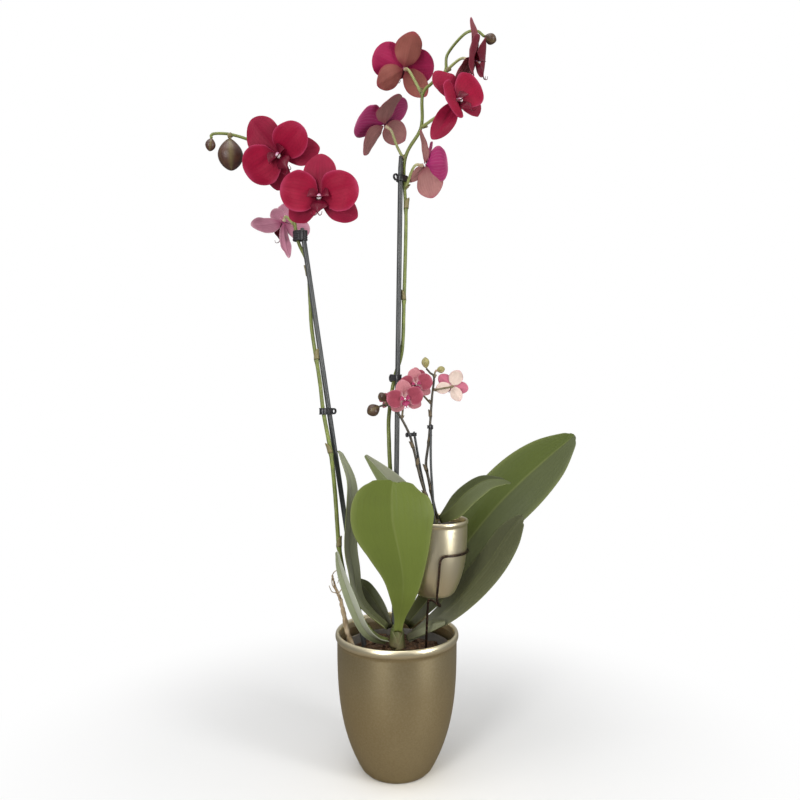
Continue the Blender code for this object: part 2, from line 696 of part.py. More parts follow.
for specs, look, parent in (
    (left_flowers, petal_red, plant),
    (right_flowers, petal_red, plant),
    (small_flowers, petal_pink, small_plant),
):
    for flower_name, spec in specs.items():
        flower(flower_name, *spec, look, parent, changed_tepals.get(flower_name, {}))

# Buds: centre, direction of the tip, length, width

buds = {
    "bud_left_large": ((-175.1, -5, 520.2), (0.05, 0, -1), 34, 26, bud_brown, plant),
    "bud_left_small": ((-195.2, -8, 529.5), (-0.15, 0, -1), 14, 10.5, bud_brown, plant),
    "bud_right": ((100.8, 16, 652.8), (0.95, 0, -0.35), 14, 11.5, bud_brown, plant),
    "small_bud_left": ((-64.5, -8, 124), (-0.8, -0.2, -0.5), 15, 13, bud_brown, small_plant),
    "small_bud_inner": ((-55.2, -6, 137.5), (-0.5, 0.1, 0.8), 11, 9, bud_brown, small_plant),
    "small_bud_top": ((-9.6, 2, 174), (-0.1, 0, 1), 12, 8.5, bud_green, small_plant),
    "small_bud_right": ((6.6, 6, 167), (0.9, 0.2, 0.2), 9.5, 7.5, bud_green, small_plant),
}
for bud_name, (centre, toward, length, width, look, parent) in buds.items():
    blob(bud_name, Vector(centre) * MM, Vector(toward), length * MM, width * MM, look, parent, point=1.15)


def bud_end(bud_name, gap=1.0):
    """Just behind a bud, in millimetres."""
    centre, toward, length, *_ = buds[bud_name]
    return Vector(centre) - Vector(toward).normalized() * (length / 2 + gap)


def spike(name, stem, radii, stalks, stalk_radius, look, parent):
    """A flower stem with its stalks, grown as one piece."""
    path = smooth_path(stem)
    made = tube(name, path, *radii, look, parent)
    for number, points in enumerate(stalks):
        stalk_path = smooth_path(points)
        part_name = f"{name}_stalk_{number}"
        part = tube(part_name, stalk_path, stalk_radius * 1.15, stalk_radius, None, parent, sides=6)
        combine(made, part, "UNION")
    return path


left_stem = [
    (-9.8, 2, 7), (-22, 2, 12), (-34.9, 0, 27), (-47.3, -3, 51), (-55.6, -4, 78), (-60.8, -4, 106),
    (-62.5, -4, 126), (-65.4, -3, 166), (-69.7, -3, 206), (-78.1, 1, 250), (-82.1, 1.8, 283),
    (-90.9, 7.6, 336), (-93.4, 11.2, 368), (-96.3, 11.6, 408), (-105.5, 8, 431), (-110.4, 3, 458),
    (-116.7, 4, 485), (-123.1, 5, 501), (-134.8, 4, 519), (-147.5, 1, 530.5), (-156.6, -3, 536.4),
    (-175.3, -6, 541), (-190, -8, 541), (-194.5, -8, 539),
]
left_stalks = [
    stalk_points((-123.1, 5, 501), left_flowers["flower_left_top"]),
    stalk_points((-110.4, 3, 458), left_flowers["flower_left_front"]),
    stalk_points((-108, 4.5, 447), left_flowers["flower_left_back"]),
    [(-173, -5.8, 541), (-175.3, -5.5, 540), bud_end("bud_left_large", gap=0.8)],
]
left_spike_path = spike("flower_spike_left", left_stem, (STEM_RADIUS, STEM_TIP_RADIUS), left_stalks,
                        STALK_RADIUS, stem_green, plant)
right_stem = [
    (3, 12.4, 10), (2.8, 18.6, 35), (1, 22, 80), (-5, 23, 150), (-7.7, 22, 191), (-8.8, 22, 218.4),
    (-8.8, 22, 245.6), (-3.3, 21, 283.8), (5.4, 20, 316.4), (7.5, 19, 370.6), (9.7, 18, 456.9),
    (8.3, 17.5, 521), (25.7, 10, 554.1), (27.2, 6, 587.1), (37.3, 4, 599.4), (51, 2, 610.6), (54, 6, 631),
    (72.5, 14, 656.5), (86, 16, 661),
    bud_end("bud_right"),
]
right_stalks = [
    stalk_points((27.2, 6, 587.1), right_flowers["flower_right_back_high"]),
    [(8.3, 17.5, 521), *stalk_points((0, 21, 538), right_flowers["flower_right_back_low"])],
    stalk_points((25.7, 10, 554.1), right_flowers["flower_right_front"]),
    stalk_points((51, 2, 610.6), right_flowers["flower_right_profile"]),
    stalk_points((9.3, 17.5, 491), right_flowers["flower_right_low"]),
]
right_spike_path = spike("flower_spike_right", right_stem, (STEM_RADIUS, STEM_TIP_RADIUS), right_stalks,
                         STALK_RADIUS, stem_green, plant)
small_left_stem = [
    (-4.6, -1, 8), (-4.4, -0.5, 20), (-14.6, -2, 50), (-23.4, -4, 87), (-29.4, -6, 104), (-40.6, -8, 123),
    (-50, -6, 129), bud_end("small_bud_left"),
]
small_left_stalks = [
    stalk_points((-35, -7, 114), small_flowers["small_flower_front"]),
    stalk_points((-46, -7, 126.5), small_flowers["small_flower_left"]),
    [(-50, -6, 129), (-52, -6.5, 131), bud_end("small_bud_inner", gap=1.2)],
]
small_left_path = spike("small_spike_left", small_left_stem, (SMALL_STEM_RADIUS, SMALL_STALK_RADIUS),
                        small_left_stalks, SMALL_STALK_RADIUS, stem_brown, small_plant)
small_right_stem = [
    (3.4, 3.8, 8), (-0.8, 3, 23), (-6.3, 2.4, 49.6), (-9.2, 2.2, 66.6), (-6.8, 2, 86.7), (-5, 2, 106.9),
    (-2.8, 2, 137.7), (-0.7, 2, 158), (-5, 2, 163.5), bud_end("small_bud_top"),
]
small_right_stalks = [
    stalk_points((-3.5, 2, 130), small_flowers["small_flower_upper"]),
    stalk_points((-2, 2, 145), small_flowers["small_flower_right"]),
    [(-2, 2, 152), *stalk_points((-8, 17, 155), small_flowers["small_flower_rear"])],
    [(-0.7, 2, 158), (0.5, 4, 164), bud_end("small_bud_right", gap=1.2)],
]
small_right_path = spike("small_spike_right", small_right_stem, (SMALL_STEM_RADIUS, SMALL_STALK_RADIUS),
                         small_right_stalks, SMALL_STALK_RADIUS, stem_brown, small_plant)

# Clips hold each stem to its stake

left_pair = ((left_spike_path, STEM_RADIUS), (stake_paths["stake_left"], STAKE_RADIUS))
right_pair = ((right_spike_path, STEM_RADIUS), (stake_paths["stake_right"], STAKE_RADIUS))
big_clip = (7 * MM, CLIP_WALL)
clip("clip_left_upper", 437 * MM, *left_pair, (11 * MM, CLIP_WALL), None, clip_black, plant)
clip("clip_left_lower", 250 * MM, *left_pair, big_clip, ("second", 2.6 * MM), clip_black, plant)
clip("clip_right_upper", 501 * MM, *right_pair, big_clip, ("second", 3 * MM), clip_black, plant)
clip("clip_right_lower", 286 * MM, *right_pair, big_clip, ("first", 3.6 * MM), clip_black, plant)
small_left_pair = (
    (small_left_path, SMALL_STEM_RADIUS),
    (small_stake_paths["small_stake_left"], SMALL_STAKE_RADIUS),
)
small_right_pair = (
    (small_right_path, SMALL_STEM_RADIUS),
    (small_stake_paths["small_stake_right"], SMALL_STAKE_RADIUS),
)
small_clip = (3.5 * MM, 0.8 * MM)
small_loop = 2 * MM
clip("small_clip_left", 98 * MM, *small_left_pair, small_clip, ("first", small_loop), clip_black,
     small_plant)
clip("small_clip_right", 106 * MM, *small_right_pair, small_clip, ("second", small_loop), clip_black,
     small_plant)
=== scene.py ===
import math
import random

import bpy
from mathutils import Matrix, Vector, noise


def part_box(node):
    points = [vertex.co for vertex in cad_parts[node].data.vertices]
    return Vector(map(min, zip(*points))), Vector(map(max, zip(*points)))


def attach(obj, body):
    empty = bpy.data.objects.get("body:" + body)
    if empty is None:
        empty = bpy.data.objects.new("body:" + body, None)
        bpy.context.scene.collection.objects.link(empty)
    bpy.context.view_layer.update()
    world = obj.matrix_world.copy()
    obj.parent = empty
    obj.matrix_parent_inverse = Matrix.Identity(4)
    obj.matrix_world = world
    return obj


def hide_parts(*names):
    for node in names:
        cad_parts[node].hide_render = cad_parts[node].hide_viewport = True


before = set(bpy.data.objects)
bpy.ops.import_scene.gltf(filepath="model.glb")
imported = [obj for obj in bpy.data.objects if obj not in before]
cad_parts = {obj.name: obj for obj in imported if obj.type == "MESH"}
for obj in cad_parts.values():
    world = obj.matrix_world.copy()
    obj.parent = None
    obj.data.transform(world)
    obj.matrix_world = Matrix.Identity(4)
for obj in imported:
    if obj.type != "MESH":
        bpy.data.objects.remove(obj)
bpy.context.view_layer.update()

mm = 0.001
potLow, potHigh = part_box("outer_pot")
smallPotLow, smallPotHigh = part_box("small_pot")
plantBase = Vector((0, 0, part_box("bark_medium")[1].z))
smallCentre = (smallPotLow + smallPotHigh) / 2
smallBase = Vector((smallCentre.x, smallCentre.y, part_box("small_moss")[1].z))
floorBase = Vector((0, 0, potLow.z))
smallFoot = Vector((smallCentre.x, smallCentre.y, smallPotLow.z))

# curves and shapes, all in millimetres from the place where their plant grows


def curveThrough(points, steps=6):
    knots = [Vector(point) for point in points]
    knots = [2 * knots[0] - knots[1], *knots, 2 * knots[-1] - knots[-2]]
    path = []
    for a, b, c, d in zip(knots, knots[1:], knots[2:], knots[3:]):
        for step in range(steps):
            t = step / steps
            square = (2 * a - 5 * b + 4 * c - d) * t**2
            cube = (3 * b - a - 3 * c + d) * t**3
            path.append((2 * b + (c - a) * t + square + cube) / 2)
    return [*path, knots[-2]]


def atHeight(path, height):
    for low, high in zip(path, path[1:]):
        if low.z <= height <= high.z:
            return low.lerp(high, (height - low.z) / (high.z - low.z))
    return path[-1]


def smoothStep(low, high, value):
    t = min(max((value - low) / (high - low), 0), 1)
    return t * t * (3 - 2 * t)


def wobble(point, size, seed):
    return noise.noise(Vector(point) / size + Vector((seed * 7.3, seed * 3.1, seed * 5.7)))


def acrossShares(wide):
    # shares across a blade, closer together towards its margins
    return [math.sin(math.pi / 2 * (2 * j / (wide - 1) - 1)) for j in range(wide)]


def easedNumbers(values, steps):
    return [point.x for point in curveThrough([(value, 0, 0) for value in values], steps)]


class Shape:
    # points, faces and where on the piece each point grew, gathered before they become one mesh
    def __init__(self):
        self.points = []
        self.faces = []
        self.growth = []

    def put(self, point, grown):
        self.points.append(Vector(point))
        self.growth.append(grown)
        return len(self.points) - 1

    def skin(self, rings, close=True):
        for low, high in zip(rings, rings[1:]):
            count = len(low)
            for i in range(count if close else count - 1):
                j = (i + 1) % count
                corners = dict.fromkeys((low[i], low[j], high[j], high[i]))
                if len(corners) > 2:
                    self.faces.append(tuple(corners))

    def tube(self, path, radii, sides=12, side=0.0, lumps=0.0, seed=0):
        # a rod whose frame is carried along, so that it doesn't twist, with ends drawn in and closed
        rings = []
        across = None
        last = len(path) - 1
        for i, point in enumerate(path):
            along = (path[min(i + 1, last)] - path[max(i - 1, 0)]).normalized()
            if across is None:
                across = along.orthogonal().normalized()
            across = (across - along * across.dot(along)).normalized()
            other = along.cross(across)
            ring = []
            for step in range(sides):
                turn = 2 * math.pi * step / sides
                out = across * math.cos(turn) + other * math.sin(turn)
                reach = radii[i]
                if lumps:
                    reach *= 1 + lumps * wobble(point + out * radii[i], radii[i] * 2.5, seed)
                ring.append(self.put(point + out * reach, (i / last, step / sides, side)))
            rings.append(ring)
        self.skin(rings)
        for ring, point in ((rings[0][::-1], path[0]), (rings[-1], path[-1])):
            middle = self.put(point, self.growth[ring[0]])
            for i, corner in enumerate(ring):
                self.faces.append((corner, ring[(i + 1) % sides], middle))

    def sheet(self, rows, thickness, alongs, acrosses, side=None):
        # a closed blade about rows of middle points: its front and back meet along the margin
        tall, wide = len(rows), len(rows[0])
        front, back = [], []
        for i, row in enumerate(rows):
            frontRow, backRow = [], []
            for j, point in enumerate(row):
                u = rows[min(i + 1, tall - 1)][j] - rows[max(i - 1, 0)][j]
                v = row[min(j + 1, wide - 1)] - row[max(j - 1, 0)]
                up = v.cross(u)
                up = up.normalized() if up.length > 1e-9 else Vector((0, 0, 0))
                grown = (alongs[i], acrosses[j])
                if i in (0, tall - 1) or j in (0, wide - 1):
                    edge = self.put(point, (*grown, 0.5 if side is None else side))
                    frontRow.append(edge)
                    backRow.append(edge)
                else:
                    half = up * thickness * (1 - 0.6 * grown[1] ** 2) * (1 - 0.4 * grown[0]) / 2
                    frontRow.append(self.put(point + half, (*grown, 0 if side is None else side)))
                    backRow.append(self.put(point - half, (*grown, 1 if side is None else side)))
            front.append(frontRow)
            back.append(backRow)
        self.skin(front, close=False)
        self.skin([row[::-1] for row in back], close=False)

    def sweep(self, outline, section):
        # a closed section carried round a closed outline of places and outward directions
        rings = []
        for i, (spot, out, level) in enumerate(outline):
            share = i / len(outline)
            rings.append([self.put(spot + out * x + level * y, (share, k / len(section), 0.0))
                          for k, (x, y) in enumerate(section)])
        self.skin([*rings, rings[0]])

    def lathe(self, outline, segments):
        columns = []
        last = len(outline) - 1
        for step in range(segments):
            turn = 2 * math.pi * step / segments
            column = []
            for i, (radius, height) in enumerate(outline):
                spot = (radius * math.cos(turn), radius * math.sin(turn), height)
                column.append(self.put(spot, (i / last, step / segments, 0.0)))
            columns.append(column)
        for step in range(segments):
            here, there = columns[step], columns[(step + 1) % segments]
            for i in range(last):
                self.faces.append((here[i], there[i], there[i + 1], here[i + 1]))

    def egg(self, centre, along, length, width, sides=20, steps=14, point=1.0, side=0.0, ribs=(0, 0.0)):
        along = Vector(along).normalized()
        across = along.orthogonal().normalized()
        other = along.cross(across)
        rings = []
        for step in range(steps + 1):
            t = (1 - math.cos(math.pi * step / steps)) / 2
            reach = width / 2 * max(math.sin(math.pi * t**point), 0.0) ** 0.62
            ring = []
            for turnStep in range(sides):
                turn = 2 * math.pi * turnStep / sides
                out = across * math.cos(turn) + other * math.sin(turn)
                swell = 1 + ribs[1] * math.cos(ribs[0] * turn) * math.sin(math.pi * t)
                spot = Vector(centre) + along * (t - 0.5) * length + out * reach * swell
                ring.append(self.put(spot, (t, turnStep / sides, side)))
            rings.append(ring)
        self.skin(rings)

    def chunk(self, centre, size, seed):
        # an angular broken lump
        rand = random.Random(seed)
        turn = rand.uniform(0, 6.28)
        spin = Matrix.Rotation(turn, 3, (rand.uniform(-0.4, 0.4), rand.uniform(-0.4, 0.4), 1))
        corners = {}
        for x in (-1, 1):
            for y in (-1, 1):
                for z in (-1, 1):
                    jitter = [rand.uniform(0.6, 1.1) for _ in range(3)]
                    spot = Vector([end * wide * part / 2
                                   for end, wide, part in zip((x, y, z), size, jitter)])
                    grown = (rand.random(), rand.random(), 0.0)
                    corners[x, y, z] = self.put(Vector(centre) + spin @ spot, grown)
        for axis in range(3):
            for end in (-1, 1):
                square = []
                for a, b in ((-1, -1), (1, -1), (1, 1), (-1, 1)):
                    key = [a, b]
                    key.insert(axis, end)
                    square.append(corners[tuple(key)])
                turned = end > 0 if axis != 1 else end < 0
                self.faces.append(tuple(square) if turned else tuple(square[::-1]))

    def mesh(self, name, base, flatShaded=False):
        mesh = bpy.data.meshes.new(name)
        mesh.from_pydata([point * mm + base for point in self.points], [], self.faces)
        layer = mesh.attributes.new("growth", "FLOAT_VECTOR", "POINT")
        layer.data.foreach_set("vector", [number for grown in self.growth for number in grown])
        if not flatShaded:
            mesh.shade_smooth()
        return mesh


def pieceName(*words):
    joined = "_".join(words).title().replace("_", "")
    return joined[0].lower() + joined[1:]


def standing(name):
    # the soil of the plant that a node belongs to
    return smallBase if name.startswith("small") else plantBase


def addPiece(name, shape, base, paint, node, flatShaded=False):
    made = bpy.data.objects.new(name, shape.mesh(name, base, flatShaded))
    bpy.context.scene.collection.objects.link(made)
    made.data.materials.append(paint.material)
    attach(made, "root")
    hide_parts(node)


# shader maths


def tone(red, green, blue):
    # a screen colour as the shader's linear one
    def linear(value):
        value /= 255
        return value / 12.92 if value <= 0.04045 else ((value + 0.055) / 1.055) ** 2.4
    return (linear(red), linear(green), linear(blue), 1)


class Value:
    # one socket, so that sums on it read as sums
    def __init__(self, paint, socket):
        self.paint = paint
        self.socket = socket

    def math(self, operation, *numbers):
        return self.paint.add("Math", {"operation": operation}, dict(enumerate(numbers)))

    def __add__(self, other):
        return self.math("ADD", self, other)

    def __sub__(self, other):
        return self.math("SUBTRACT", self, other)

    def __rsub__(self, other):
        return self.math("SUBTRACT", other, self)

    def __mul__(self, other):
        return self.math("MULTIPLY", self, other)

    def __pow__(self, other):
        return self.math("POWER", self, other)

    __radd__ = __add__
    __rmul__ = __mul__

    def __abs__(self):
        return self.math("ABSOLUTE", self)

    def sine(self):
        return self.math("SINE", self)

    def step(self, low, high):
        # rises smoothly from nought at low to one at high
        settings = {"interpolation_type": "SMOOTHSTEP"}
        return self.paint.add("MapRange", settings, {"Value": self, "From Min": low, "From Max": high})

    def beside(self, name):
        return Value(self.paint, self.socket.node.outputs[name])


class Paint:
    # a material, or the world, and the nodes that are added to it
    def __init__(self, name, owner=None, fixed=None):
        self.material = owner or bpy.data.materials.new(name)
        self.material.use_nodes = True
        self.nodes = self.material.node_tree.nodes
        self.links = self.material.node_tree.links
        self.shader = self.nodes.get("Principled BSDF")
        for key, value in (fixed or {}).items():
            self.shader.inputs[key].default_value = value

    def add(self, kind, settings=None, inputs=None, out=0):
        node = self.nodes.new("ShaderNode" + kind)
        for key, value in (settings or {}).items():
            if key == "stops":
                while len(node.color_ramp.elements) < len(value):
                    node.color_ramp.elements.new(1)
                for element, (place, colour) in zip(node.color_ramp.elements, value):
                    element.position = place
                    element.color = colour
            else:
                setattr(node, key, value)
        for key, value in (inputs or {}).items():
            self.feed(node.inputs[key], value)
        return Value(self, node.outputs[out])

    def feed(self, socket, value):
        if isinstance(value, Value):
            self.links.new(value.socket, socket)
        else:
            socket.default_value = value

    def place(self):
        return self.add("TexCoord", out="Object")

    def grown(self):
        # along, across and side, as the shape stored them
        found = self.add("Attribute", {"attribute_name": "growth"}, out="Vector")
        split = self.add("SeparateXYZ", None, {0: found})
        return split, split.beside("Y"), split.beside("Z")

    def noise(self, scale, detail=3.0, rough=0.55, stretch=None):
        vector = self.place()
        if stretch:
            vector = self.add("Mapping", None, {"Vector": vector, "Scale": stretch})
        inputs = {"Vector": vector, "Scale": scale, "Detail": detail, "Roughness": rough}
        return self.add("TexNoise", None, inputs)

    def blend(self, factor, a, b, way="MIX"):
        settings = {"data_type": "RGBA", "blend_type": way, "clamp_factor": True}
        return self.add("Mix", settings, {0: factor, 6: a, 7: b}, out=2)

    def ramp(self, factor, stops):
        return self.add("ValToRGB", {"stops": stops}, {"Fac": factor})

    def give(self, name, value):
        self.feed(self.shader.inputs[name], value)

    def bump(self, height, strength, distance):
        inputs = {"Height": height, "Strength": strength, "Distance": distance}
        self.give("Normal", self.add("Bump", None, inputs))

    def finish(self, colour, rough, height, strength, distance):
        self.give("Base Color", colour)
        self.give("Roughness", rough)
        self.bump(height, strength, distance)


# camera, lights and floor

view = {"eye": (0.0032, -0.741, 0.388), "lens": 31.5, "sensor": 36.0}
lens = bpy.data.cameras.new("camera")
lens.lens = view["lens"]
lens.sensor_width = view["sensor"]
lens.clip_start = 0.01
camera = bpy.data.objects.new("camera", lens)
camera.location = view["eye"]
camera.rotation_euler = (math.radians(90), 0, 0)
bpy.context.scene.collection.objects.link(camera)
bpy.context.scene.camera = camera
bpy.context.scene.view_settings.view_transform = "Standard"

studioAim = Vector((0, 0, 0.3))
studio = {
    "stripLeft": {"spot": (-0.62, -1.25, 0.62), "wide": 0.36, "tall": 1.2, "power": 12},
    "fillRight": {"spot": (1.15, -0.85, 0.5), "wide": 0.36, "tall": 1.1, "power": 12},
    "topSoft": {"spot": (-0.25, -0.35, 1.75), "wide": 1.0, "tall": 1.0, "power": 8},
}
for lampName, lamp in studio.items():
    data = bpy.data.lights.new(lampName, "AREA")
    data.shape = "RECTANGLE"
    data.size = lamp["wide"]
    data.size_y = lamp["tall"]
    data.energy = lamp["power"]
    made = bpy.data.objects.new(lampName, data)
    made.location = lamp["spot"]
    aim = studioAim - Vector(lamp["spot"])
    made.rotation_euler = aim.to_track_quat("-Z", "Y").to_euler()
    bpy.context.scene.collection.objects.link(made)

# the room gives off a dim even light and is seen as plain white
room = {"light": 0.25, "above": 0.35}
world = bpy.data.worlds.new("studio")
bpy.context.scene.world = world
sky = Paint("studio", world)
towards = sky.add("TexCoord", out="Generated")
height = sky.add("SeparateXYZ", None, {0: towards}).beside("Z")
level = height.step(0.1, 0.9) * room["above"] + room["light"]
seen = sky.add("LightPath", out="Is Camera Ray")
sky.feed(sky.nodes["Background"].inputs["Color"], (1, 1, 1, 1))
sky.feed(sky.nodes["Background"].inputs["Strength"], level + seen * (1 - level))

# the floor is pale paper near the pot and runs out into plain white
floorFade = {"near": 0.16, "far": 0.5}
floorPaint = Paint("palePaper", fixed={"Roughness": 0.7})
floorTone = floorPaint.noise(3.0, 2)
distance = floorPaint.add("VectorMath", {"operation": "LENGTH"}, {0: floorPaint.place()}, out="Value")
seen = floorPaint.add("LightPath", out="Is Camera Ray")
paper = floorPaint.blend(floorTone, (0.90, 0.90, 0.895, 1), (0.93, 0.93, 0.925, 1))
# the metal mirrors a dimmer floor than the one that lights the leaves
mirrored = floorPaint.add("LightPath", out="Is Glossy Ray")
floorPaint.give("Base Color", floorPaint.blend(mirrored, paper, (0.2, 0.17, 0.13, 1)))
shine = (seen * 0.55 + 0.45) * (1 - mirrored) + mirrored * 0.14
glow = floorPaint.add("Emission", None, {"Color": (1, 1, 1, 1), "Strength": shine})
fade = distance.step(floorFade["near"], floorFade["far"])
matt = Value(floorPaint, floorPaint.shader.outputs[0])
mixed = floorPaint.add("MixShader", None, {0: fade, 1: matt, 2: glow})
floorPaint.feed(floorPaint.nodes["Material Output"].inputs["Surface"], mixed)
floorShape = Shape()
floorSpan = 40000
floorShape.faces.append(tuple(floorShape.put((floorSpan * x, floorSpan * y, -0.4), (0, 0, 0))
                              for x, y in ((-1, -1), (1, -1), (1, 1), (-1, 1))))
floor = bpy.data.objects.new("floor", floorShape.mesh("floor", floorBase))
floor.data.materials.append(floorPaint.material)
bpy.context.scene.collection.objects.link(floor)
print("studio is set")

# gold pots

# pale is the gold as lit, painted where highlights fall: on the big pot's rim and over the whole small pot
gold = {"light": tone(218, 204, 166), "deep": tone(196, 178, 138), "pale": tone(246, 234, 200),
        "rough": 0.28, "metal": 0.96}


def goldPaint(name, litFrom):
    # painted highlight: everything above this height is painted in the paler, lit gold
    paint = Paint(name, fixed={"Metallic": gold["metal"], "Coat Weight": 0.06, "Coat Roughness": 0.3})
    cloud = paint.noise(9, 2, 0.5)
    brushed = paint.noise(520, 3, 0.6)
    grain = paint.noise(2600, 2)
    mixed = (cloud * 0.6 + brushed * 0.4).step(0.3, 0.72)
    height = paint.add("SeparateXYZ", None, {0: paint.place()}).beside("Z")
    body = paint.blend(mixed, gold["deep"], gold["light"])
    face = paint.blend(height.step(litFrom - mm, litFrom), body, gold["pale"])
    paint.finish(face, gold["rough"] + brushed * 0.06 + cloud * 0.05,
                 grain * 0.7 + brushed * 0.5, 0.12, 0.0003)
    return paint


def wallRadius(height, pot):
    rise = min(max(height / pot["height"], 0), 1)
    return pot["foot"] + (pot["body"] - pot["foot"]) * (1 - (1 - rise) ** pot["curve"])


def potShape(pot):
    # up the outside, over the rolled rim and down the inside
    shoulder = pot["height"] - pot["bead"]
    turnIn = pot["wall"]
    outline = [(0, 0), (pot["foot"] * 0.6, 0)]
    for step in range(7):
        angle = math.radians(-90 + 70 * step / 6)
        outline.append((pot["foot"] - turnIn + turnIn * math.cos(angle), turnIn + turnIn * math.sin(angle)))
    steps = 40
    for step in range(1, steps + 1):
        height = turnIn + (shoulder - turnIn) * (step / steps) ** 1.3
        outline.append((wallRadius(height, pot), height))
    top = outline[-1][0]
    lip = pot["bead"] / 2
    for step in range(1, 25):
        angle = math.radians(-95 + 275 * step / 24)
        stretch = lip * (0.42 if math.cos(angle) > 0 else 0.5)
        reach = top + stretch * (math.cos(angle) * 1.25 - 0.1)
        outline.append((reach, shoulder + lip + lip * math.sin(angle)))
    for step in range(steps, 0, -1):
        height = pot["floor"] + (shoulder - pot["floor"]) * step / steps
        outline.append((wallRadius(height, pot) - pot["wall"], height))
    outline += [(pot["foot"] - pot["wall"], pot["floor"]), (0, pot["floor"])]
    shape = Shape()
    shape.lathe(outline, 144)
    return shape


bigPot = {"height": (potHigh.z - potLow.z) / mm, "body": 63, "foot": 35.5, "curve": 3.2,
          "wall": 3, "floor": 5, "bead": 8}
smallPot = {"height": (smallPotHigh.z - smallPotLow.z) / mm, "body": 34.3, "foot": 19.3, "curve": 3.2,
            "wall": 2, "floor": 3, "bead": 4.4}
# the big pot's rolled rim gets a painted highlight in the pale gold
potPaint = goldPaint("satinGold", potHigh.z - bigPot["bead"] * mm)
addPiece("potBig", potShape(bigPot), floorBase, potPaint, "outer_pot")
# painted light: the whole small pot takes the pale, lit gold, a lighter copy of the same metal
potPaint = goldPaint("litGold", smallPotLow.z)
addPiece("potSmall", potShape(smallPot), smallFoot, potPaint, "small_pot")
print("pots are made")

# inserts, bark and moss

linerPaint = Paint("smokyPlastic", fixed={"Roughness": 0.35, "Coat Weight": 0.2})
smoke = linerPaint.noise(60, 3)
linerPaint.give("Base Color", linerPaint.blend(smoke, tone(70, 66, 60), tone(120, 114, 104)))
linerPaint.give("Roughness", 0.3 + smoke * 0.25)


inserts = {
    "nursery_pot": {"low": 31.3, "high": 56.4, "wall": 1.0, "piece": "innerPotBig", "foot": floorBase},
    "small_nursery_pot": {"low": 16.5, "high": 30.8, "wall": 0.8, "piece": "innerPotSmall",
                          "foot": smallFoot},
}


def linerShape(insert, lowHeight, highHeight):
    low, high, wall = insert["low"], insert["high"], insert["wall"]
    lip = wall * 1.2
    outline = [(0, lowHeight), (low, lowHeight), (high, highHeight - lip), (high + lip, highHeight - lip),
               (high + lip * 1.15, highHeight - lip / 2), (high + lip, highHeight), (high, highHeight),
               (high - wall, highHeight - lip * 0.6), (low - wall, lowHeight + wall), (0, lowHeight + wall)]
    shape = Shape()
    shape.lathe(outline, 96)
    return shape


for insertName, insert in inserts.items():
    low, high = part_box(insertName)
    foot = insert["foot"]
    shape = linerShape(insert, (low.z - foot.z) / mm, (high.z - foot.z) / mm)
    addPiece(insert["piece"], shape, foot, linerPaint, insertName)

bark = {"radius": 52.5, "deep": 116, "chips": 230, "seed": 11}
barkPaint = Paint("barkChips", fixed={"Roughness": 0.88})
barkCloud = barkPaint.noise(240, 5, 0.7)
barkGrain = barkPaint.noise(900, 3, 0.6, stretch=(1, 1, 4))
barkShade = barkPaint.grown()[0]
barkTone = barkPaint.ramp(barkCloud * 0.6 + barkGrain * 0.15 + barkShade * 0.3, [
    (0.25, tone(38, 27, 19)), (0.5, tone(84, 61, 42)),
    (0.7, tone(128, 97, 68)), (0.9, tone(170, 142, 106))])
barkPaint.give("Base Color", barkTone)
barkPaint.bump(barkCloud + barkGrain * 0.6, 0.7, 0.0012)
barkShape = Shape()
edge = bark["radius"]
barkShape.lathe([(0, -bark["deep"]), (30, -bark["deep"]), (edge, -6), (edge * 0.8, -5),
                 (edge * 0.4, -4.6), (0, -4.5)], 64)
chipRand = random.Random(bark["seed"])
for number in range(bark["chips"]):
    reach = (edge - 6) * math.sqrt(chipRand.random())
    turn = chipRand.uniform(0, 2 * math.pi)
    size = (chipRand.uniform(6, 14), chipRand.uniform(4, 9), chipRand.uniform(2.5, 6))
    depth = chipRand.uniform(-5, -1.5) - 2 * (reach / edge) ** 2
    spot = (reach * math.cos(turn), reach * math.sin(turn), depth)
    barkShape.chunk(spot, size, number + 50)
addPiece("barkFill", barkShape, plantBase, barkPaint, "bark_medium", flatShaded=True)

moss = {"reach": 26, "edge": 28, "strands": 130, "thick": 0.45, "seed": 5}
mossPaint = Paint("dryMoss", fixed={"Roughness": 0.95})
mossCloud = mossPaint.noise(300, 4, 0.7)
mossPaint.give("Base Color", mossPaint.ramp(mossCloud, [
    (0.3, tone(70, 56, 34)), (0.5, tone(122, 102, 62)), (0.72, tone(168, 150, 104))]))
mossPaint.bump(mossCloud, 0.6, 0.001)
mossShape = Shape()
mossShape.lathe([(0, -65), (17, -65), (28.6, -2.6), (20, -1.6), (10, -1.1), (0, -1)], 48)
mossRand = random.Random(moss["seed"])
for strandNumber in range(moss["strands"]):
    reach = moss["reach"] * math.sqrt(mossRand.random())
    turn = mossRand.uniform(0, 2 * math.pi)
    lie = mossRand.uniform(0, 2 * math.pi)
    span = mossRand.uniform(3, 7)
    spot = Vector((reach * math.cos(turn), reach * math.sin(turn), -1.4))
    way = Vector((math.cos(lie), math.sin(lie), 0)) * span
    rise = Vector((0, 0, mossRand.uniform(0.6, 1.8)))
    strand = curveThrough([spot - way / 2, spot + rise, spot + way / 2], 4)
    strand = [point for point in strand if math.hypot(point.x, point.y) < moss["edge"]]
    if len(strand) > 3:
        mossShape.tube(strand, [moss["thick"]] * len(strand), 4)
addPiece("mossFill", mossShape, smallBase, mossPaint, "small_moss")
print("bark and moss are in")

# the bent wire and the stakes

wire = {"radius": 1.25, "lift": 57, "ring": 46.5, "centre": smallCentre.x / mm}


